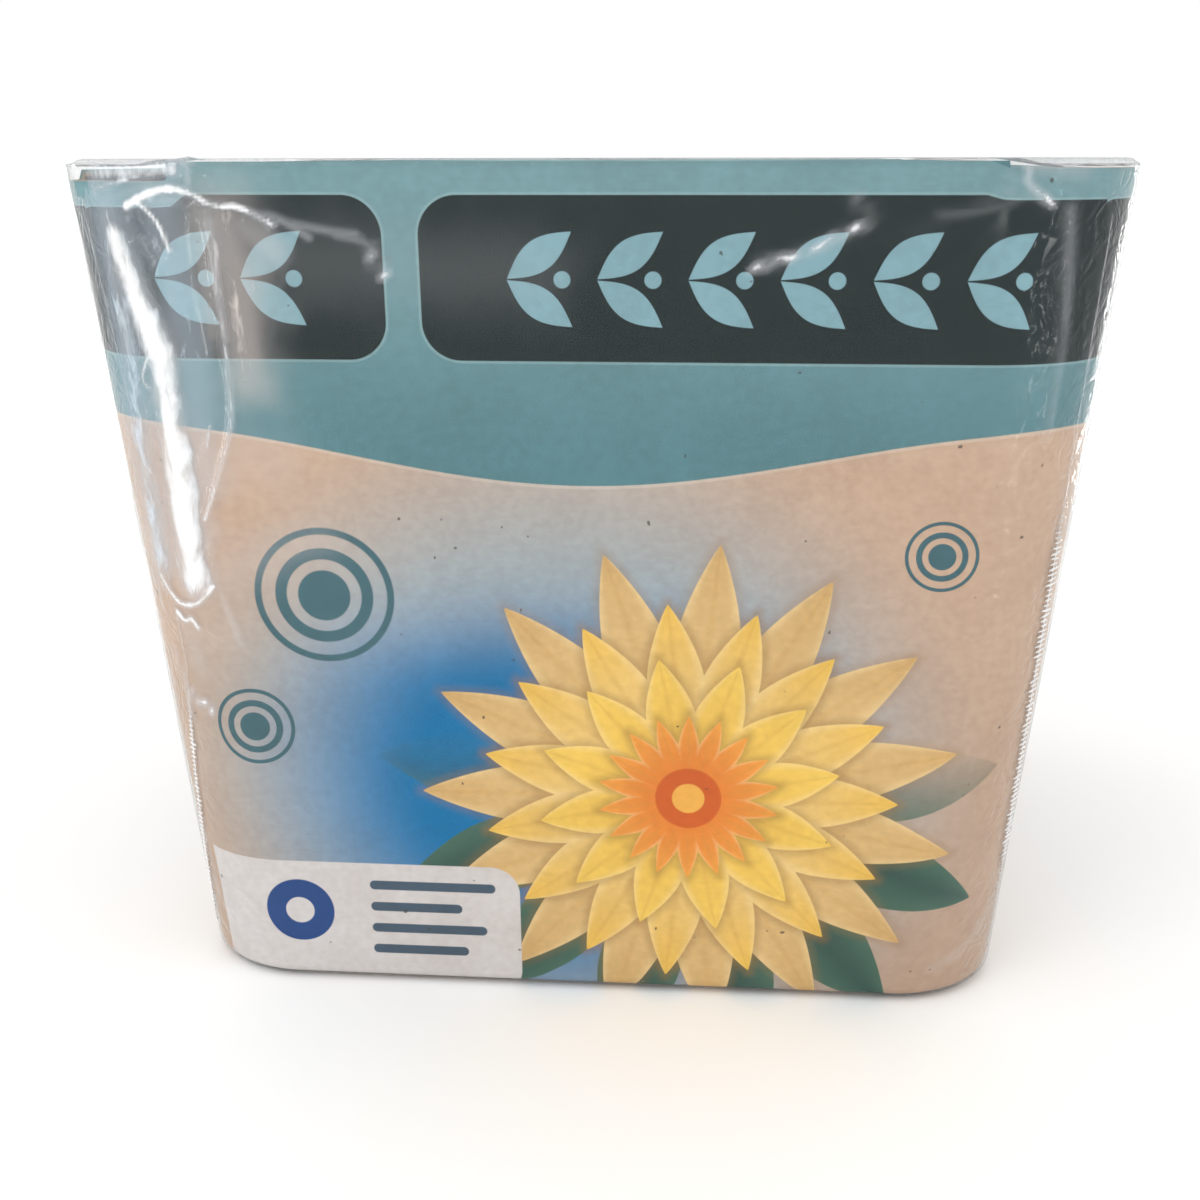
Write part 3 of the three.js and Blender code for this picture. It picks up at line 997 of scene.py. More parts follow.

# Creases that stand on the front and its corners: route as (distance round from the front's
# middle, height), half width, taper and height, in millimetres, and how pale the crease's line
# is, partly whitening of the film and partly a painted highlight along it.
CREASES = (
    (((-68.4, 167.0), (-68.6, 161.5)), 0.7, 0.8, 0.5, 0.6),
    (((-88.0, 161.4), (-80.0, 163.2), (-70.5, 165.0)), 0.9, 0.9, 0.35, 0.7),
    (((-84.0, 160.4), (-79.0, 161.2), (-74.5, 163.0)), 0.9, 0.8, 0.3, 0.5),
    (((-69.0, 161.0), (-71.5, 161.6), (-75.3, 161.2), (-80.5, 158.6)), 1.2, 1.3, 0.6, 0.95),
    (((-78.6, 159.8), (-75.8, 157.0), (-74.2, 154.4), (-73.2, 150.8)), 0.8, 0.6, 0.35, 0.9),
    (((-68.6, 161.0), (-66.3, 159.5), (-63.6, 158.4), (-59.9, 158.7), (-54.0, 155.4)),
     0.8, 0.7, 0.45, 0.85),
    (((-55.2, 157.2), (-51.5, 155.8), (-47.8, 153.2)), 0.7, 0.7, 0.25, 0.5),
    (((-50.6, 155.6), (-46.0, 154.6), (-39.2, 153.8)), 0.6, 0.6, 0.2, 0.45),
    (((-43.0, 153.6), (-38.0, 152.7), (-36.2, 150.3)), 0.6, 0.6, 0.2, 0.4),
    (((-36.6, 150.2), (-34.8, 146.4)), 0.6, 0.6, 0.3, 0.8),
    (((-65.6, 158.0), (-65.3, 151.0), (-65.1, 142.0), (-64.2, 132.0)), 1.5, 0.6, 0.5, 0.62),
    (((-64.6, 134.0), (-64.3, 121.9), (-66.1, 115.0), (-71.6, 100.9)), 0.7, 0.7, 0.4, 0.72),
    (((-54.2, 155.6), (-51.9, 149.2), (-54.6, 142.0), (-57.5, 128.0)), 1.4, 0.5, 0.2, 0.2),
    (((-70.4, 158.0), (-70.8, 146.0), (-69.0, 132.0)), 1.2, 0.5, -0.3, 0.0),
    (((-83.0, 156.0), (-79.4, 141.0), (-76.9, 133.9), (-75.6, 126.5), (-76.0, 114.0),
      (-75.4, 100.9), (-74.3, 84.0)), 2.6, 1.0, 0.8, 0.0),
    (((-80.0, 131.5), (-82.6, 127.5), (-80.8, 125.6)), 0.7, 0.8, 0.35, 0.8),
    (((-80.6, 124.0), (-84.2, 117.0), (-83.6, 108.0)), 0.9, 0.6, 0.35, 0.6),
    (((-71.2, 112.5), (-69.8, 115.5), (-69.0, 119.0)), 0.6, 0.6, 0.25, 0.6),
    (((-86.0, 150.0), (-85.0, 128.0), (-81.0, 104.0)), 1.6, 0.7, 0.4, 0.3),
    (((-84.8, 88.0), (-80.5, 82.6), (-74.6, 83.6), (-71.4, 87.6)), 0.8, 0.8, 0.35, 0.85),
    (((-81.2, 81.0), (-79.0, 79.2), (-77.4, 80.4), (-76.0, 78.4)), 0.6, 0.8, 0.3, 0.9),
    (((-70.8, 96.0), (-70.2, 86.0), (-67.0, 76.0)), 0.8, 0.5, 0.25, 0.35),
    (((-79.8, 63.6), (-78.0, 61.4), (-76.4, 62.4), (-75.2, 60.8)), 0.6, 0.8, 0.3, 0.85),
    (((-84.0, 72.0), (-81.6, 66.0), (-81.4, 58.0)), 0.9, 0.6, 0.3, 0.4),
    (((30.7, 148.5), (37.9, 150.4), (44.5, 153.5), (49.0, 155.6)), 0.8, 0.6, 0.35, 0.35),
    (((46.9, 161.0), (48.2, 158.6), (50.2, 156.8)), 0.6, 0.7, 0.2, 0.25),
    (((75.2, 167.0), (75.9, 164.4), (75.4, 162.6), (79.4, 159.6)), 0.8, 0.8, 0.5, 0.7),
    (((77.0, 161.0), (70.0, 158.0), (61.0, 157.2)), 0.9, 0.5, 0.25, 0.15),
    (((84.0, 158.0), (86.0, 140.0), (84.0, 118.0)), 1.6, 0.6, 0.35, 0.3),
    (((70.0, 8.0), (79.0, 12.0), (86.0, 22.0)), 1.4, 0.6, 0.35, 0.2),
    (((-70.0, 9.0), (-80.0, 16.0), (-84.0, 30.0)), 1.4, 0.6, 0.4, 0.2),
)

# Patches where the film is whitened, partly painted glare: the bright band down the left front
# corner, the tinted patches and the beads on the streak at the right stand for mirrored light.
# Route, half width, taper, strength, and warmth of its tone, where 0 is bluish, 0.5 neutral and
# 1 pinkish.
HAZE_AND_GLARE = (
    (((-84.5, 153.0), (-80.6, 141.0), (-77.6, 131.0)), 3.8, 1.3, 0.94, 0.4),
    (((-77.4, 132.0), (-76.4, 118.0), (-76.2, 104.0), (-75.2, 90.0)), 5.0, 1.05, 0.96, 0.4),
    (((-86.0, 158.0), (-85.0, 128.0), (-84.0, 92.0)), 8.0, 0.8, 0.62, 0.0),
    (((-74.0, 157.0), (-71.0, 134.0), (-71.0, 108.0)), 6.5, 0.8, 0.5, 0.05),
    (((-76.5, 159.4), (-72.0, 159.6)), 3.0, 1.0, 0.62, 0.2),
    (((-64.0, 156.0), (-61.0, 143.0), (-61.6, 128.0)), 7.5, 0.75, 0.56, 1.0),
    (((-67.6, 152.0), (-67.0, 136.0)), 2.8, 0.7, 0.44, 1.0),
    (((-60.0, 155.0), (-54.0, 151.0)), 5.0, 0.7, 0.5, 0.7),
    (((-65.3, 156.0), (-65.0, 144.0), (-64.4, 135.0)), 2.6, 0.5, 0.68, 0.75),
    (((-64.0, 138.0), (-65.0, 120.0), (-71.5, 101.0)), 2.4, 0.6, 0.3, 0.6),
    (((-76.0, 88.0), (-66.0, 92.0), (-50.0, 97.0)), 8.0, 0.5, 0.24, 0.9),
    (((-66.0, 150.0), (-40.0, 148.0), (-8.0, 147.0)), 9.0, 0.8, 0.1, 0.5),
    (((-74.0, 124.0), (-58.0, 112.0)), 9.0, 0.7, 0.18, 0.15),
    (((-88.0, 163.8), (-79.0, 164.6), (-71.5, 165.0)), 2.6, 0.9, 0.7, 0.35),
    (((-80.0, 80.0), (-77.0, 70.0)), 5.0, 0.5, 0.26, 0.1),
    (((30.7, 148.5), (34.6, 149.5), (37.9, 150.4)), 0.9, 0.9, 0.85, 0.5),
    (((40.6, 151.6), (44.5, 153.5)), 0.9, 0.9, 0.75, 0.5),
    (((47.4, 155.0), (49.0, 155.6)), 0.8, 0.9, 0.8, 0.5),
    (((78.8, 160.4), (80.4, 159.0)), 0.9, 0.8, 0.8, 0.5),
    (((86.0, 165.0), (76.4, 165.4)), 2.0, 0.9, 0.34, 0.5),
)


# Where the film's mesh is finer, at the front's left and right: from this x out and height up.
CREASED_LEFT = (-40.0, 74.0)
CREASED_RIGHT = (62.0, 138.0)
CREASED_DEPTH = -56.0


def film_shape():
    """The film's closed envelope, still smooth: walls, rounded edges, top and base."""
    low = rounded_edge(FILM_INSET, FILM_INSET, BASE_EDGE - FILM_INSET, 1, 5)
    high = rounded_edge(HEIGHT - FILM_INSET, FILM_INSET, TOP_EDGE - FILM_INSET, -1, 4)
    piece = shell_walls("shrink_film", low, high, FILM_STEPS)
    choose(piece, "faces", in_creased_zone)
    bpy.ops.mesh.subdivide(number_cuts=FILM_FINE_CUTS)
    return close_shell(piece, low, high, FILM_STEPS)


def in_creased_zone(face):
    """Whether a face of the film lies by one of the creased front corners."""
    x, y, z = face.calc_center_median() / MM
    by_left = x < CREASED_LEFT[0] and z > CREASED_LEFT[1]
    by_right = x > CREASED_RIGHT[0] and z > CREASED_RIGHT[1]
    return y < CREASED_DEPTH and z < HEIGHT - TOP_EDGE and (by_left or by_right)


def onto_arcs(points):
    """Moves the wall's points exactly onto the outline at their height."""
    core_x, core_y, radius, turn = around(points, FILM_INSET)
    wall = (points[:, 2] > BASE_EDGE) & (points[:, 2] < HEIGHT - TOP_EDGE)
    exact = points.copy()
    exact[wall, 0] = (core_x + radius * np.sin(turn))[wall]
    exact[wall, 1] = (core_y - radius * np.cos(turn))[wall]
    return exact


def placed_relief(places):
    """Height, milkiness with painted glare, and warmth of the film at places on the front and its
    corners.

    Each place is the distance round from the front's middle and the height. The warmth is the
    mean of the patches and creases there, each weighed by the square of its strength.
    """
    rise = np.zeros(len(places))
    milk_and_glare = np.zeros(len(places))
    weight = np.full(len(places), 0.02)
    warmth = weight * 0.5
    lumpy = 1 + 0.4 * soft_noise(np.column_stack((places, places[:, 0])), 7.0, 21)
    for route, width, taper, strength, warm in HAZE_AND_GLARE:
        patch = strength * stroke(places, rounded_route(route), width * lumpy, taper)
        milk_and_glare = np.maximum(milk_and_glare, patch)
        weight += patch * patch
        warmth += patch * patch * warm
    for route, width, taper, height, milky_and_glare in CREASES:
        path = rounded_route(route)
        rise += height * stroke(places, path, width, taper, 1.5, LEAST_CREASE)
        line = milky_and_glare * stroke(places, path, width * 0.9, taper, 1.7, LEAST_CREASE)
        milk_and_glare = np.maximum(milk_and_glare, line)
        weight += line * line
        warmth += line * line * 0.45
    return rise, milk_and_glare, warmth / weight


def film_relief(points, settings):
    """How far each point of the film moves along its normal, its milkiness with painted glare, and
    how warm.
    """
    core_x, core_y, radius, turn = around(points, FILM_INSET)
    _, across, _ = panel_place(points, np.zeros(len(points)), FILM_INSET)
    reach = np.hypot(points[:, 0] - core_x, points[:, 1] - core_y)
    wall = smooth_step(HEIGHT - points[:, 2], 0.2, 1.4) * smooth_step(points[:, 2], 0.6, 3.0)
    # The walls that the listed creases can reach: front, front corners and sides.
    chosen = np.where((np.abs(turn) < math.pi * 0.55) & (reach > radius - TOP_EDGE))[0]
    rise = np.zeros(len(points))
    haze = np.zeros(len(points))
    warm = np.full(len(points), 0.5)
    places = np.column_stack((across, points[:, 2]))[chosen]
    rise[chosen], haze[chosen], warm[chosen] = placed_relief(places)
    random = np.random.default_rng(7)
    for side_x, side_y in CORNERS:
        creased = corner_creases(points, side_x, side_y, random, settings)
        rise += creased
        haze = np.maximum(haze, np.clip(creased * 2.2, 0, 0.8))
    # Slow waves where shrinking left the film uneven, stronger at the rounded corners, whitened a
    # little on their crests, which partly paints the sheen they mirror.
    bend = np.abs(np.sin(2 * turn))
    waves = soft_noise(np.column_stack((across / 9, points[:, 1] / 14, points[:, 2] / 34)), 1, 3)
    rise += waves * (0.05 + 0.2 * bend) * wall
    haze += np.clip(waves, 0, 1) * 0.1 * bend * wall
    folds, slack = top_relief(points)
    return rise + folds, np.clip(np.maximum(haze, slack), 0, 1), warm


# How far from a fold end its small creases reach, and the height down to which they do.
SMALL_CREASE_REACH = 46.0
SMALL_CREASE_FLOOR = 70.0


def corner_creases(points, side_x, side_y, random, settings):
    """Small creases that run out from the fold ends beside one upper corner."""
    total = np.zeros(len(points))
    flat = TOP_STRAIGHT
    half = TOP_WIDTH / 2
    height = settings.crease_height / MM
    centre = np.array((side_x * flat, side_y * flat, HEIGHT))
    for start in ((side_x * flat, side_y * half), (side_x * half, side_y * flat)):
        away = np.hypot(points[:, 0] - start[0], points[:, 1] - start[1])
        near = np.where((away < SMALL_CREASE_REACH) & (points[:, 2] > SMALL_CREASE_FLOOR))[0]
        for _ in range(settings.small_creases // 2):
            angle = random.uniform(-1.35, 1.35)
            drop = random.uniform(1.5, 9.0)
            length = random.gamma(2.0, 5.0) + 4
            bend = random.normal(0, 0.25)
            width = random.uniform(0.55, 1.25) * (1.0 if side_y < 0 else 1.7)
            size = height * random.uniform(0.35, 1.2) * random.choice((-0.7, 1.0))
            begin_at = np.array((start[0], start[1], HEIGHT - drop))
            outward = begin_at - centre
            outward[2] = 0
            outward /= np.linalg.norm(outward)
            level = np.array((-outward[1], outward[0], 0))
            heading = np.array((0, 0, -1)) * math.cos(angle) + level * math.sin(angle)
            middle = begin_at + heading * length * 0.5 + level * bend * length * 0.3
            end = begin_at + heading * length + level * bend * length
            route = (begin_at, middle, end)
            fade = 1 - smooth_step(np.linalg.norm(points[near] - begin_at, axis=1), 2, length * 1.4)
            total[near] += size * stroke(points[near], route, width) * (0.35 + 0.65 * fade)
    return total


def top_relief(points):
    """Tension folds over the top, the film's sag into the gaps at its corners, and its milkiness
    there.
    """
    top = smooth_step(points[:, 2], HEIGHT - 1.6, HEIGHT - FILM_INSET - 0.1)
    rise = np.zeros(len(points))
    slack = np.zeros(len(points))
    for number, (side_x, side_y) in enumerate(CORNERS):
        x = points[:, 0] * side_x - TOP_STRAIGHT
        y = points[:, 1] * side_y - TOP_STRAIGHT
        distance = np.hypot(np.maximum(x, 0), np.maximum(y, 0))
        gap = smooth_step(np.minimum(x, y), -1.0, 9.0)
        bearing = np.arctan2(y, x)
        pleats = np.cos(bearing * 17 + 2.2 * number) * 0.5 + np.cos(bearing * 29 + number) * 0.3
        rise -= gap * (1.1 + 0.15 * number) * top
        rise += pleats * gap * smooth_step(distance, 6, 20) * 0.4 * top
        slack = np.maximum(slack, gap * top * (0.3 + 0.3 * np.clip(pleats, 0, 1)))
    seam = stroke(points[:, :2], ((-60.0, 0.0), (60.0, 0.0)), 1.4)
    return rise - 0.25 * seam * top, slack


class KIT_OT_shrink_film(bpy.types.Operator):
    """Builds the clear film that is shrunk over the carton"""

    bl_idname = "kit.shrink_film"
    bl_label = "Shrink Film"

    def execute(self, context):
        settings = context.scene.kit_film
        piece = film_shape()
        points = onto_arcs(read_points(piece))
        write_points(piece, points)
        rise, haze, warm = film_relief(points, settings)
        press_out(piece, points, rise, "film", 0.02)
        turn = around(points, FILM_INSET)[3]
        loose = np.maximum(np.abs(np.sin(2 * turn)), smooth_step(points[:, 2], 150, 166) * 0.6)
        mark(piece, haze=haze, warmth=warm, loose=loose)
        piece.data.materials.append(film_material(settings))
        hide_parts("film")
        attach(piece, "root")
        return {"FINISHED"}


def crinkle_group():
    """Fine crinkles of thin film: a height for a bump, stronger where the film is loose."""
    if "Crinkle" in bpy.data.node_groups:
        return bpy.data.node_groups["Crinkle"]
    group, wire, give = new_group(
        "Crinkle",
        [("Vector", "NodeSocketVector", None), ("Loose", "NodeSocketFloat", 0.5)],
        [("Height", "NodeSocketFloat")],
    )
    broad = grain(group, wire["Vector"], 90.0, 1.0, 0.4, 0.8)
    ridged = 1.0 - call("ABSOLUTE", grain(group, wire["Vector"], 170.0, 2.0, 0.5, 1.6) - 0.5) * 2.6
    give("Height", broad * 0.5 + ridged * (wire["Loose"] * 0.8 + 0.05))
    return group


# What the film mirrors of light that meets it squarely.
MIRROR_SHARE = 0.02
# Scene-linear tones of its milkiness and painted glare where it is bluish, pinkish and thickest;
# the bluish and pinkish tints are painted reflections.
MILK_AND_GLARE_COOL = (0.66, 0.80, 0.93)
MILK_AND_GLARE_WARM = (0.95, 0.84, 0.79)
MILK_AND_GLARE_SOLID = (0.92, 0.93, 0.94)


def film_material(settings):
    """Clear film: see-through, mirroring at its surface, and whitened where it is stressed, with
    painted glare and painted reflections in that whitening.
    """
    name = "crinkled_clear_film"
    if name in bpy.data.materials:
        return bpy.data.materials[name]
    material, tree, output = new_material(name)
    place = object_place(tree)
    loose = attribute(tree, "loose", "Fac")
    crinkle = place_group(tree, crinkle_group(), Vector=place, Loose=loose)["Height"]
    normal = bump(crinkle, 0.5, 0.0008)
    clear = tree.nodes.new("ShaderNodeBsdfTransparent")
    gloss = tree.nodes.new("ShaderNodeBsdfGlossy")
    gloss.inputs["Roughness"].default_value = settings.roughness
    put(tree, gloss.inputs["Normal"], normal)
    facing = tree.nodes.new("ShaderNodeLayerWeight")
    put(tree, facing.inputs["Normal"], normal)
    grazing = call("POWER", Wire(tree, facing.outputs["Facing"]), 5.0)
    mirror = grazing * (1 - MIRROR_SHARE) + MIRROR_SHARE
    patch = attribute(tree, "haze", "Fac")
    tone = blend_colours(attribute(tree, "warmth", "Fac"), MILK_AND_GLARE_COOL, MILK_AND_GLARE_WARM)
    tone = blend_colours(ramp(patch, 0.55, 0.9), tone, MILK_AND_GLARE_SOLID)
    milk_and_glare = principled(
        tree, None, Base_Color=tone, Roughness=0.3, Normal=normal, Specular_IOR_Level=0.9
    )
    # The whitening and its painted glare break up into streaks that run up and down.
    streak = grain(tree, stretched(place, (1.0, 1.0, 0.3)), 360.0, 3.0, 0.6, 0.5)
    solid = ramp(patch + (streak - 0.5) * 0.85, 0.36, 1.0) * settings.haze
    amount = call("MAXIMUM", solid, patch * 0.5 + 0.003)
    sheet = mix_shaders(tree, mirror, clear, gloss)
    milky_and_glare = mix_shaders(tree, amount, sheet, milk_and_glare)
    holed = mix_shaders(tree, vent_mask(place), milky_and_glare, clear)
    tree.links.new(holed.outputs[0], output.inputs["Surface"])
    return material


VENT_SPREAD = 42.0
VENT_HEIGHT = 128.0
VENT_RADIUS = 3.0


def vent_mask(place):
    """1 inside the two round vents in the film's back and 0 elsewhere."""
    x, y, z = axes(place)
    aside = call("ABSOLUTE", x) - VENT_SPREAD * MM
    above = z - VENT_HEIGHT * MM
    distance = call("SQRT", aside * aside + above * above)
    back = call("GREATER_THAN", y, 0.0)
    return call("LESS_THAN", distance, VENT_RADIUS * MM) * back


class KIT_OT_vent_rims(bpy.types.Operator):
    """Builds the melted rims of the two vents in the film's back"""

    bl_idname = "kit.vent_rims"
    bl_label = "Vent Rims"

    def execute(self, context):
        piece = begin("vent_rims")
        half, _ = plan(VENT_HEIGHT, FILM_INSET)
        slope = math.atan((TOP_WIDTH - BASE_WIDTH) / 2 / HEIGHT)
        for hand in (-1, 1):
            bpy.ops.mesh.select_all(action="DESELECT")
            bpy.ops.mesh.primitive_torus_add(
                major_radius=(VENT_RADIUS + 0.15) * MM, minor_radius=0.24 * MM,
                major_segments=40, minor_segments=10,
                location=(hand * VENT_SPREAD * MM, half * MM, VENT_HEIGHT * MM),
                rotation=(math.pi / 2 - slope, 0, 0),
            )
        leave(piece)
        mark(piece, haze=0.8, warmth=0.5, loose=0.3)
        piece.data.materials.append(film_material(context.scene.kit_film))
        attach(piece, "root")
        return {"FINISHED"}


# Route of each side seal: height, and turn in degrees from the side's normal to the front.
SEAL_ROUTES = {
    "left": ((7.0, 27.0), (40.0, 42.0), (70.0, 56.0), (110.0, 54.0), (157.0, 44.0)),
    "right": ((7.0, 25.5), (40.0, 29.0), (95.0, 35.0), (125.0, 38.0), (157.0, 41.0)),
}
# Heights between which each seal's gathers stand out most.
SEAL_GATHERED = {"left": (12.0, 58.0), "right": (30.0, 98.0)}
# Least and greatest half length of a gather.
SEAL_REACH = {"left": (0.5, 1.3), "right": (1.2, 2.5)}


def seal_point(hand, height, degrees, proud):
    """A point that stands proud of the film's corner, in millimetres, and its way outward."""
    half, radius = plan(height, FILM_INSET)
    angle = math.radians(degrees)
    outward = Vector((hand * math.cos(angle), -math.sin(angle), 0))
    centre = Vector((hand * (half - radius), radius - half, height))
    return centre + outward * (radius + proud), outward


def seal_strength(name, height):
    """How strongly a seal is gathered at a height, from 0 to 1."""
    low, high = SEAL_GATHERED[name]
    begun = smooth_step(height, low - 8, low + 4)
    ended = smooth_step(height, high - 6, high + 10)
    return float(begun * (1 - ended))


def seal_turn(route, height):
    """The turn of a seal's route at a height, in degrees."""
    heights, turns = zip(*route)
    return float(np.interp(height, heights, turns))


class KIT_OT_side_seals(bpy.types.Operator):
    """Builds the gathered seals that run down the film at both front corners"""

    bl_idname = "kit.side_seals"
    bl_label = "Side Seals"

    def execute(self, context):
        settings = context.scene.kit_film
        for hand, name in ((-1, "left"), (1, "right")):
            piece = self.seal(settings, hand, name)
            piece.data.materials.append(film_material(settings))
            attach(piece, "root")
        return {"FINISHED"}

    def seal(self, settings, hand, name):
        """A thin bead up the route, crossed by gathers, each a sphere drawn flat and wide."""
        route = SEAL_ROUTES[name]
        random = np.random.default_rng(11 + hand)
        pitch = settings.gather_pitch / MM
        bead = begin(f"side_seal_{name}")
        count = int((route[-1][0] - route[0][0]) / pitch)
        for number in range(count):
            height = route[0][0] + (number + 0.5) * pitch
            turn = seal_turn(route, height) + random.normal(0, 0.35)
            place, outward = seal_point(hand, height, turn, 0.12)
            bpy.ops.mesh.select_all(action="DESELECT")
            bpy.ops.mesh.primitive_uv_sphere_add(
                segments=8, ring_count=5, radius=MM, location=place * MM
            )
            strength = seal_strength(name, height)
            wide = random.uniform(*SEAL_REACH[name]) * (0.12 + 0.88 * strength)
            size = (0.1 + 0.2 * strength, wide, random.uniform(0.13, 0.21))
            spin = Matrix.Rotation(math.atan2(outward.y, outward.x), 4, "Z")
            tilt = Matrix.Rotation(random.normal(0, 0.05), 4, "X")
            shape = spin @ tilt @ Matrix.Diagonal((*size, 1))
            mesh = edit(bead)
            for vertex in mesh.verts:
                if vertex.select:
                    vertex.co = shape @ (vertex.co - place * MM) + place * MM
            bmesh.update_edit_mesh(bead.data)
        heights = np.linspace(route[0][0], route[-1][0], 70)
        line = [seal_point(hand, height, seal_turn(route, height), 0.1)[0] for height in heights]
        tube(bead, line, 0.11, 6)
        leave(bead)
        gathered = np.array([seal_strength(name, point[2]) for point in read_points(bead)])
        # Whitening on the gathers, which partly paints the glints they catch.
        mark(bead, haze=0.2 + 0.78 * gathered, warmth=0.5, loose=0.5)
        return bead


# --------------------------------------------------------------------------------------------
# Carton


def card_shape():
    """The printed sheet without its thickness: base edge, walls and the flaps of both ends."""
    low = rounded_edge(CARD_INSET, CARD_INSET, BASE_EDGE - CARD_INSET, 1, 4)
    piece = shell_walls("printed_carton", low, [(FRONT_FOLD, CARD_INSET)], CARD_STEPS)
    for number in range(4):
        add_flap(piece, number, FRONT_FOLD, 1)
        add_flap(piece, number, CARD_INSET, -1)
    return leave(piece, closed=False)


def side_axes(number):
    """Outward and sideways directions of the front, right, back and left side."""
    turn = number * math.pi / 2
    return Vector((math.sin(turn), -math.cos(turn), 0)), Vector((math.cos(turn), math.sin(turn), 0))


def add_flap(piece, number, level, upward):
    """Folds a flap in from the straight part of one side and runs it to its tip."""
    outward, sideways = side_axes(number)
    half, radius = plan(level, CARD_INSET if upward > 0 else BASE_EDGE)
    reach = half - radius - FLAP_STEP

    def on_fold(edge):
        if not at_level(edge, level * MM):
            return False
        middle = (edge.verts[0].co + edge.verts[1].co) / (2 * MM)
        return middle.dot(outward) > half - 0.5 and abs(middle.dot(sideways)) < reach

    choose(piece, "edges", on_fold)
    tip = FLAP_SEAM if number % 2 == 0 else SIDE_FLAP_TIP
    length = half - tip
    if upward > 0:
        bpy.ops.mesh.extrude_region_move(
            TRANSFORM_OT_translate={"value": -outward * FOLD_ROUND * MM}
        )
        length -= FOLD_ROUND
        tag_flap(piece, number + 1)
    share = 1 - FLAP_TAPER / reach / FLAP_ROWS
    scale = [1.0 if abs(part) < 0.5 else share for part in sideways]
    for _ in range(FLAP_ROWS):
        bpy.ops.mesh.extrude_region_move(
            TRANSFORM_OT_translate={"value": -outward * length / FLAP_ROWS * MM}
        )
        tag_flap(piece, number + 1)
        bpy.ops.transform.resize(value=(scale[0], scale[1], 1.0), center_override=(0, 0, 0))


def tag_flap(piece, number):
    """Marks the selected vertices as a flap's: 1 to 4 from the front on round, 0 is wall."""
    mesh = edit(piece)
    layer = mesh.verts.layers.int.get("flap") or mesh.verts.layers.int.new("flap")
    for vertex in mesh.verts:
        if vertex.select:
            vertex[layer] = number
    bmesh.update_edit_mesh(piece.data)


def card_relief(piece):
    """Bends the sheet: folds one card lower at the sides, dipped corners and bowed flaps."""
    points = read_points(piece)
    moved = points.copy()
    flap = np.empty(len(points), np.int32)
    piece.data.attributes["flap"].data.foreach_get("value", flap)
    flat = growth_at(points[:, 2]) * BASE_STRAIGHT
    reach_x = np.abs(points[:, 0]) - flat
    reach_y = np.abs(points[:, 1]) - flat
    in_corner = smooth_step(np.minimum(reach_x, reach_y), -FLAP_STEP, 0.3)
    side_wall = np.where(flap > 0, flap % 2 == 0, reach_x > reach_y).astype(float)
    top_level = FRONT_FOLD - side_wall * (FRONT_FOLD - SIDE_FOLD)
    for (side_x, side_y), edge in zip(CORNERS, CORNER_EDGES):
        here = (points[:, 0] * side_x > 0) & (points[:, 1] * side_y > 0)
        dipped = top_level * (1 - in_corner) + edge * in_corner
        top_level = np.where(here & (flap == 0), dipped, top_level)
    upper = smooth_step(points[:, 2], FRONT_FOLD - 14, FRONT_FOLD)
    moved[:, 2] -= (FRONT_FOLD - top_level) * upper
    # The top flaps of the front and back bow down a little between their fold and tip.
    lid = (flap > 0) & (points[:, 2] > HEIGHT / 2)
    inward = TOP_WIDTH / 2 - np.where(flap % 2 == 1, np.abs(points[:, 1]), np.abs(points[:, 0]))
    bow = np.sin(np.clip(inward / 95, 0, 1) * math.pi) * 0.12
    moved[lid, 2] -= bow[lid] * (flap[lid] % 2 == 1)
    # The side flaps of the base fold in over those of the front and back.
    foot = (flap > 0) & (flap % 2 == 0) & (points[:, 2] < HEIGHT / 2)
    run = BASE_WIDTH / 2 - BASE_EDGE - np.abs(points[:, 0])
    moved[foot, 2] += (BASE_INNER_FLAP - CARD_INSET) * smooth_step(run[foot], 0.0, 4.0)
    return points, moved


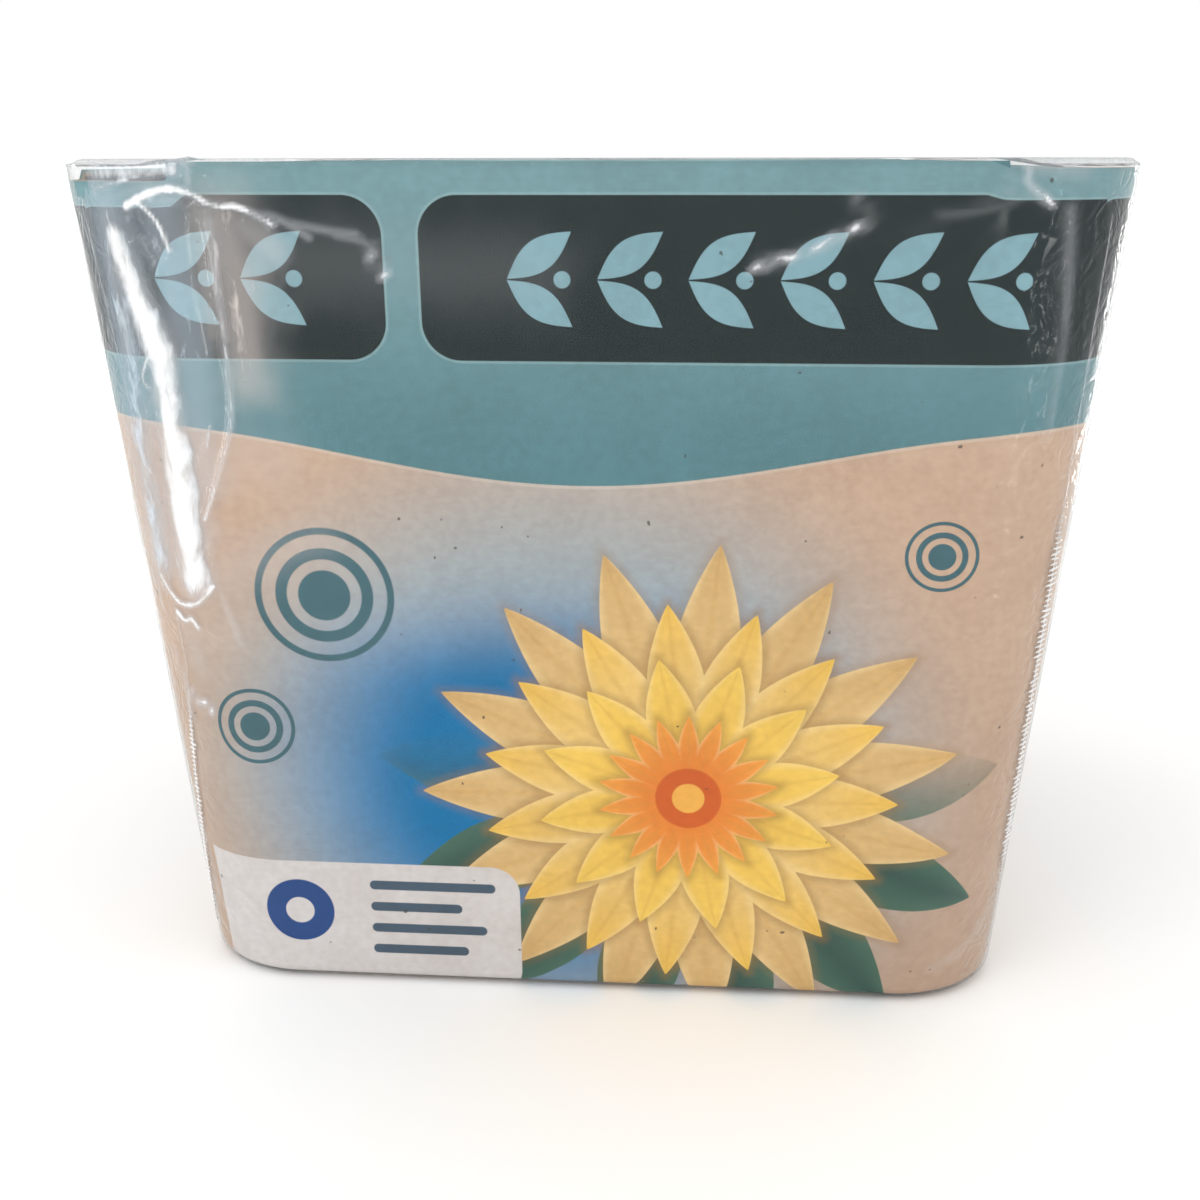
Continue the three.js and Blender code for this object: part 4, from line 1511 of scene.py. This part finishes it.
class KIT_OT_printed_carton(bpy.types.Operator):
    """Builds the printed card blank, folded to its walls and flaps"""

    bl_idname = "kit.printed_carton"
    bl_label = "Printed Carton"

    def execute(self, context):
        piece = card_shape()
        points, moved = card_relief(piece)
        write_points(piece, moved)
        self.mark_print(piece, points)
        apply_modifier(
            piece, "SOLIDIFY", thickness=CARD_THICKNESS * MM, offset=-1.0,
            use_even_offset=True, use_rim=True, material_offset=0,
        )
        self.mark_inside(piece)
        piece.data.materials.append(printed_card_material(context.scene.kit_card))
        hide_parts("carton")
        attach(piece, "root")
        return {"FINISHED"}

    def mark_print(self, piece, points):
        """Writes where each face corner lies on the print, and on which panel."""
        mesh = piece.data
        corner_vertex = np.empty(len(mesh.loops), np.int32)
        mesh.loops.foreach_get("vertex_index", corner_vertex)
        totals = np.empty(len(mesh.polygons), np.int32)
        mesh.polygons.foreach_get("loop_total", totals)
        face = np.repeat(np.arange(len(totals)), totals)
        corners = points[corner_vertex]
        sums = np.zeros((len(totals), 3))
        np.add.at(sums, face, corners)
        centres = (sums / totals[:, None])[face]
        turn = around(centres, CARD_INSET)[3]
        panel, along, width = panel_place(corners, turn, CARD_INSET)
        place = np.column_stack((along, corners[:, 2], along / width))
        low = np.full(len(totals), np.inf)
        high = np.full(len(totals), -np.inf)
        np.minimum.at(low, face, corners[:, 2])
        np.maximum.at(high, face, corners[:, 2])
        lid = (low > FRONT_FOLD - 0.05)[face]
        base = (high < CARD_INSET + 0.05)[face]
        level = lid | base
        place[level, :2] = corners[level, :2]
        place[level, 2] = 0
        panel = np.where(lid, TOP_PANEL, np.where(base, BASE_PANEL, panel))
        write_attribute(piece, "print", "FLOAT_VECTOR", "CORNER", place)
        write_attribute(piece, "panel", "FLOAT", "CORNER", panel)
        foot = 1 - smooth_step(points[:, 2], 2.0, 4.5)
        mark(piece, wear=foot * 0.3, printed=1.0)

    def mark_inside(self, piece):
        """Leaves the inner side and the cut edges of the thickened sheet unprinted."""
        mesh = piece.data
        values = np.empty(len(mesh.vertices), np.float32)
        mesh.attributes["printed"].data.foreach_get("value", values)
        values[len(values) // 2:] = 0
        mesh.attributes["printed"].data.foreach_set("value", values)


# --------------------------------------------------------------------------------------------
# Contents


class KIT_OT_basket(bpy.types.Operator):
    """Gives the planting basket its moulded plastic"""

    bl_idname = "kit.basket"
    bl_label = "Planting Basket"

    def execute(self, context):
        tint = context.scene.kit_contents
        material, tree, output = new_material("moulded_basket_plastic")
        place = object_place(tree)
        spark = grain(tree, place, 1500.0, 2.0, 0.6)
        flow = grain(tree, place, 45.0, 3.0, 0.5, 0.8)
        surface = mottled(flow, 0.35, 0.7, tint.basket, 0.85)
        principled(
            tree, output, Base_Color=surface, Roughness=0.36 + flow * 0.14,
            Normal=bump(spark, 0.2, 0.0001),
        )
        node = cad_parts["basket"]
        node.data.materials.clear()
        node.data.materials.append(material)
        return {"FINISHED"}


BAG_INSET = 7.2
BAG_EDGE = 14.0
BAG_STEPS = (12, 30, 40)


class KIT_OT_substrate_bag(bpy.types.Operator):
    """Builds the crumpled film bag of soil in the basket"""

    bl_idname = "kit.substrate_bag"
    bl_label = "Substrate Bag"

    def execute(self, context):
        low, high = node_box("substrate_bag")
        lower = rounded_edge(low[2] + 0.3, BAG_INSET, BAG_EDGE, 1, 6)
        upper = rounded_edge(high[2] - 0.3, BAG_INSET, BAG_EDGE, -1, 6)
        piece = shell_walls("soil_bag", lower, upper, BAG_STEPS)
        close_shell(piece, lower, upper, BAG_STEPS)
        points = read_points(piece)
        folds = 1 - np.abs(soft_noise(points * (1, 1, 0.55), 17.0, 5)) * 3.2
        lumps = soft_noise(points, 6.5, 9)
        rise = np.clip(folds, -1, 1) * 0.9 + lumps * 0.35 - 1.5
        # The top is domed: it lies deeper towards its edge.
        top = smooth_step(points[:, 2], high[2] - BAG_EDGE, high[2] - 1)
        outward = (points[:, 0] / high[0]) ** 2 + (points[:, 1] / high[1]) ** 2
        rise -= top * np.clip(outward, 0, 2) * 3.0
        press_out(piece, points, rise, "substrate_bag", 0.05)
        piece.data.materials.append(soil_bag_material(context.scene.kit_contents))
        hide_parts("substrate_bag")
        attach(piece, "root")
        return {"FINISHED"}


def soil_bag_material(tint):
    """Thin clear bag film pressed on dark, crumbly soil."""
    material, tree, output = new_material("soil_under_film")
    place = object_place(tree)
    crumbs = grain(tree, place, 330.0, 5.0, 0.7)
    fibre = ramp(grain(tree, place, 900.0, 2.0, 0.5, 2.0), 0.62, 0.68)
    soil = mottled(crumbs, 0.35, 0.65, tint.soil, 0.45)
    soil = blend_colours(fibre * 0.7, soil, srgb(132, 104, 74))
    crinkle = place_group(tree, crinkle_group(), Vector=place, Loose=1.0)["Height"]
    principled(
        tree, output, Base_Color=soil, Roughness=0.2 + crumbs * 0.12,
        Normal=bump(crinkle + crumbs * 0.3, 0.7, 0.0012), Coat_Weight=0.6,
    )
    return material


def tube(piece, places, radius, sides):
    """Runs a closed tube along a route, given in millimetres, in the mesh that is edited."""
    bpy.ops.mesh.select_all(action="DESELECT")
    bpy.ops.mesh.primitive_circle_add(vertices=sides, radius=radius * MM, fill_type="NGON")
    mesh = edit(piece)
    heading = (places[1] - places[0]).to_track_quat("Z", "Y").to_matrix()
    for vertex in mesh.verts:
        if vertex.select:
            vertex.co = heading @ vertex.co + places[0] * MM
    bmesh.update_edit_mesh(piece.data)
    for last, place in zip(places, places[1:]):
        step = (place - last) * MM
        bpy.ops.mesh.extrude_region_move(TRANSFORM_OT_translate={"value": step})


RHIZOME_LENGTH = 88.0
RHIZOME_RADIUS = 14.2
RHIZOME_TURN = math.radians(24)
# Where the buds stand along the stock, as shares of its length from its middle.
BUD_SHARES = (-0.28, -0.08, 0.12, 0.3)
BUD_HALF = (4.6, 4.6, 8.2)
BUD_LEAN = 0.45
ROOTS = 14


class KIT_OT_rhizome(bpy.types.Operator):
    """Builds the knobbly root stock with its buds and trimmed roots"""

    bl_idname = "kit.rhizome"
    bl_label = "Rhizome"

    def execute(self, context):
        low, high = node_box("rhizome")
        middle = (low + high) / 2
        radius = RHIZOME_RADIUS
        centre = Vector((middle[0], middle[1], low[2] + radius * 0.92))
        axis = Vector((math.cos(RHIZOME_TURN), math.sin(RHIZOME_TURN), 0))
        piece = begin("root_stock")
        random = np.random.default_rng(23)
        bpy.ops.mesh.primitive_uv_sphere_add(segments=48, ring_count=40, radius=MM)
        self.shape(piece, centre, axis, (RHIZOME_LENGTH / 2, radius, radius * 0.9), 0.0)
        for share in BUD_SHARES:
            bpy.ops.mesh.select_all(action="DESELECT")
            bpy.ops.mesh.primitive_uv_sphere_add(segments=20, ring_count=16, radius=MM)
            root = centre + axis * share * RHIZOME_LENGTH + Vector((0, 0, radius * 0.8))
            self.shape(piece, root, axis, BUD_HALF, BUD_LEAN)
        for _ in range(ROOTS):
            share = random.uniform(-0.36, 0.36)
            side = random.choice((-1, 1))
            out = Vector((-axis.y, axis.x, 0)) * side
            start = centre + axis * share * RHIZOME_LENGTH + out * radius * 0.55
            start.z -= 2
            bend = axis * random.normal(0, 0.25)
            drop = Vector((0, 0, 0.3))
            places = [
                start + (out * 0.9 + bend * step * 0.3) * step * 1.3 - drop * step
                for step in range(7)
            ]
            tube(piece, places, random.uniform(0.9, 1.4), 7)
        leave(piece)
        apply_modifier(piece, "REMESH", mode="VOXEL", voxel_size=0.75 * MM)
        points = read_points(piece)
        local = points - np.array(centre)
        along = local @ np.array(axis)
        rings = np.sin(along * 1.05 + soft_noise(points, 12.0, 4) * 3.0)
        bark = soft_noise(points, 4.5, 6) * 0.6 + soft_noise(points, 11.0, 8) * 1.1
        press_out(piece, points, rings * 0.35 + bark - 0.6, "rhizome", 0.05)
        bpy.ops.object.shade_smooth()
        green = smooth_step(points[:, 2], centre.z + radius * 0.95, centre.z + radius * 1.35)
        mark(piece, bud=green)
        piece.data.materials.append(bark_material(context.scene.kit_contents))
        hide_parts("rhizome")
        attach(piece, "root")
        return {"FINISHED"}

    def shape(self, piece, centre, axis, half, lean):
        """Stretches the newest sphere to half sizes and sets it in its place along the stock.

        A bud leans and narrows to its tip. The stock lies level and narrows to one end.
        """
        turn = Matrix.Rotation(math.atan2(axis.y, axis.x), 3, "Z") @ Matrix.Rotation(lean, 3, "Y")
        mesh = edit(piece)
        for vertex in mesh.verts:
            if vertex.select:
                x, y, z = vertex.co / MM
                if lean:
                    taper = 1 - 0.45 * max(z, 0)
                    shaped = Vector((x * half[0] * taper, y * half[1] * taper, z * half[2]))
                else:
                    taper = 1 - 0.28 * max(x, 0) ** 2
                    shaped = Vector((x * half[0], y * half[1] * taper, z * half[2] * taper))
                vertex.co = (turn @ shaped + centre) * MM
        bmesh.update_edit_mesh(piece.data)


def bark_material(tint):
    """Fibrous brown bark that turns to pale green at the buds."""
    material, tree, output = new_material("root_bark")
    place = object_place(tree)
    flakes = grain(tree, place, 260.0, 5.0, 0.65, 0.6)
    hairs = grain(tree, place, 1100.0, 2.0, 0.6, 1.5)
    bark = mottled(flakes, 0.3, 0.7, tint.bark, 0.35)
    bark = blend_colours(ramp(hairs, 0.55, 0.75) * 0.5, bark, srgb(138, 108, 74))
    bud = attribute(tree, "bud", "Fac") * ramp(flakes, 0.2, 0.5)
    surface = blend_colours(bud, bark, tint.bud)
    principled(
        tree, output, Base_Color=surface, Roughness=0.82 - bud * 0.3,
        Normal=bump(flakes + hairs * 0.4, 0.8, 0.0009),
    )
    return material


LEAFLET_SIZE = (104.0, 61.0)
LEAFLET_TURN = math.radians(-7)
LEAFLET_SHEET = 0.16
# Radius of the sheet's fold.
LEAFLET_FOLD = 0.42


class KIT_OT_leaflet(bpy.types.Operator):
    """Builds the folded instruction sheet"""

    bl_idname = "kit.leaflet"
    bl_label = "Leaflet"

    def execute(self, context):
        low, high = node_box("leaflet")
        middle = (low + high) / 2
        piece = begin("folded_leaflet")
        bpy.ops.mesh.primitive_grid_add(x_subdivisions=120, y_subdivisions=40, size=2 * MM)
        bpy.ops.object.mode_set(mode="OBJECT")
        flat = read_points(piece)
        width, depth = LEAFLET_SIZE
        # The sheet runs along its upper half, round the fold and back along its lower half.
        run = flat[:, 0] * (width + LEAFLET_FOLD)
        arc = np.clip(run / LEAFLET_FOLD, -math.pi / 2, math.pi / 2)
        straight = np.maximum(np.abs(run) - LEAFLET_FOLD * math.pi / 2, 0)
        x = width / 2 - LEAFLET_FOLD + LEAFLET_FOLD * np.cos(arc) - straight
        y = flat[:, 1] * depth / 2
        z = LEAFLET_FOLD * np.sin(arc)
        wave = 0.1 * np.sin(x / 13 + y / 17) * np.sign(run)
        cosine, sine = math.cos(LEAFLET_TURN), math.sin(LEAFLET_TURN)
        folded = np.column_stack((x * cosine - y * sine, x * sine + y * cosine, z + wave))
        write_points(piece, folded + middle)
        write_attribute(piece, "sheet", "FLOAT_VECTOR", "POINT", np.column_stack((run, y, 0 * y)))
        apply_modifier(piece, "SOLIDIFY", thickness=LEAFLET_SHEET * MM, offset=0.0)
        bpy.ops.object.shade_smooth()
        write_points(piece, np.clip(read_points(piece), low + 0.02, high - 0.02))
        piece.data.materials.append(leaflet_material(context.scene.kit_contents))
        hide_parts("leaflet")
        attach(piece, "root")
        return {"FINISHED"}


def leaflet_material(tint):
    """Uncoated paper with a teal band and plain grey bars in two columns."""
    material, tree, output = new_material("uncoated_leaflet")
    along, up, _ = axes(attribute(tree, "sheet", "Vector"))
    place = object_place(tree)
    tooth = grain(tree, place, 1200.0, 3.0, 0.6)
    paper = mottled(tooth, 0.3, 0.7, tint.paper, 0.93)
    rows = call("LESS_THAN", call("FRACT", up / 5.0), 0.34)
    edge = call("LESS_THAN", call("ABSOLUTE", up + 3.0), 21.0)
    columns = call("LESS_THAN", call("ABSOLUTE", call("FRACT", along / 52.0) - 0.5), 0.4)
    printed = blend_colours(rows * edge * columns * 0.75, paper, srgb(96, 108, 112))
    head = call("GREATER_THAN", up, 22.5)
    printed = blend_colours(head, printed, srgb(104, 143, 150))
    principled(tree, output, Base_Color=printed, Roughness=0.78, Normal=bump(tooth, 0.2, 0.0001))
    return material


# --------------------------------------------------------------------------------------------
# Stage


CAMERA_PLACE = Vector((0.02739, -0.38171, 0.16682))
CAMERA_YAW = math.radians(-4.814)
CAMERA_PITCH = math.radians(15.469)
CAMERA_ROLL = math.radians(-0.088)


def area_light(name, place, target, size, power):
    """A white rectangular light aimed at a target, which the camera doesn't see."""
    data = bpy.data.lights.new(name, "AREA")
    data.shape = "RECTANGLE"
    data.size, data.size_y = size
    data.energy = power
    light = bpy.data.objects.new(name, data)
    light.location = place
    aim = Vector(target) - Vector(place)
    light.rotation_euler = aim.to_track_quat("-Z", "Y").to_euler()
    light.visible_camera = False
    bpy.context.scene.collection.objects.link(light)


class KIT_OT_stage(bpy.types.Operator):
    """Sets the floor, the soft light and the camera"""

    bl_idname = "kit.stage"
    bl_label = "Stage"

    def execute(self, context):
        settings = context.scene.kit_stage
        self.floor()
        self.lights(settings)
        self.camera(settings)
        view = context.scene.view_settings
        view.view_transform = "Standard"
        view.look = "None"
        return {"FINISHED"}

    def floor(self):
        """A wide pale sheet that lies on the ground."""
        bpy.ops.object.select_all(action="DESELECT")
        bpy.ops.mesh.primitive_plane_add(size=60.0)
        sheet = bpy.context.active_object
        sheet.name = "studio_floor"
        material, tree, output = new_material("studio_paper")
        mottle = grain(tree, object_place(tree), 3.0)
        tone = blend_colours(mottle, (0.93, 0.93, 0.93), (0.96, 0.96, 0.96))
        principled(tree, output, Base_Color=tone, Roughness=0.9, Specular_IOR_Level=0.1)
        sheet.data.materials.append(material)

    def lights(self, settings):
        """A pale sky, a large soft light in front and four narrow ones low at the corners."""
        world = bpy.data.worlds.new("studio")
        bpy.context.scene.world = world
        world.use_nodes = True
        tree = world.node_tree
        _, _, up = axes(Wire(tree, tree.nodes.new("ShaderNodeTexCoord").outputs["Generated"]))
        light = blend_colours(ramp(up, -0.05, 0.6), (0.72, 0.74, 0.77), (1.18, 1.18, 1.16))
        seen = Wire(tree, tree.nodes.new("ShaderNodeLightPath").outputs["Is Camera Ray"])
        sky = blend_colours(seen, light, (1.0, 1.0, 1.0))
        put(tree, tree.nodes["Background"].inputs["Color"], sky)
        tree.nodes["Background"].inputs["Strength"].default_value = settings.sky
        area_light("key", (-0.9, -1.3, 1.5), (0, 0, 0.08), (0.9, 0.9), settings.key_power)
        area_light(
            "strip", (-0.21, -0.27, 0.07), (-0.075, -0.09, 0.11), (0.016, 0.15),
            settings.strip_power,
        )
        area_light(
            "edge", (0.27, -0.24, 0.06), (0.09, -0.08, 0.09), (0.02, 0.11),
            settings.strip_power * 0.7,
        )
        for hand in (-1, 1):
            area_light(
                "back_strip", (hand * 0.27, 0.25, 0.1), (hand * 0.09, 0.09, 0.1), (0.018, 0.16),
                settings.strip_power,
            )

    def camera(self, settings):
        """The camera, placed where it was fitted to the photo."""
        data = bpy.data.cameras.new("camera")
        data.sensor_width = 36.0
        data.lens = settings.lens
        data.clip_start = 0.02
        camera = bpy.data.objects.new("camera", data)
        forward = Vector((
            math.sin(CAMERA_YAW) * math.cos(CAMERA_PITCH),
            math.cos(CAMERA_YAW) * math.cos(CAMERA_PITCH),
            -math.sin(CAMERA_PITCH),
        ))
        aim = forward.to_track_quat("-Z", "Y").to_matrix().to_4x4()
        roll = Matrix.Rotation(CAMERA_ROLL, 4, "Z")
        camera.matrix_world = Matrix.Translation(CAMERA_PLACE) @ aim @ roll
        bpy.context.scene.collection.objects.link(camera)
        bpy.context.scene.camera = camera


class KIT_PT_panel(bpy.types.Panel):
    """Lists the pieces of the package in the order in which they are made"""

    bl_label = "Planting Kit"
    bl_idname = "KIT_PT_panel"
    bl_space_type = "VIEW_3D"
    bl_region_type = "UI"
    bl_category = "Planting Kit"

    def draw(self, context):
        for operator in OPERATORS:
            self.layout.operator(operator.bl_idname)


OPERATORS = (
    KIT_OT_shrink_film,
    KIT_OT_side_seals,
    KIT_OT_vent_rims,
    KIT_OT_printed_carton,
    KIT_OT_basket,
    KIT_OT_substrate_bag,
    KIT_OT_rhizome,
    KIT_OT_leaflet,
    KIT_OT_stage,
)
SETTINGS = {
    "kit_film": KitFilmSettings,
    "kit_card": KitCardSettings,
    "kit_contents": KitContentsSettings,
    "kit_stage": KitStageSettings,
}


def register():
    for group in SETTINGS.values():
        bpy.utils.register_class(group)
    for name, group in SETTINGS.items():
        setattr(bpy.types.Scene, name, PointerProperty(type=group))
    for operator in (*OPERATORS, KIT_PT_panel):
        bpy.utils.register_class(operator)


def unregister():
    for operator in (KIT_PT_panel, *reversed(OPERATORS)):
        bpy.utils.unregister_class(operator)
    for name, group in SETTINGS.items():
        delattr(bpy.types.Scene, name)
        bpy.utils.unregister_class(group)


def main():
    register()
    bpy.ops.kit.shrink_film()
    bpy.ops.kit.side_seals()
    bpy.ops.kit.vent_rims()
    bpy.ops.kit.printed_carton()
    bpy.ops.kit.basket()
    bpy.ops.kit.substrate_bag()
    bpy.ops.kit.rhizome()
    bpy.ops.kit.leaflet()
    bpy.ops.kit.stage()
    bpy.context.view_layer.update()


if __name__ == "__main__":
    main()
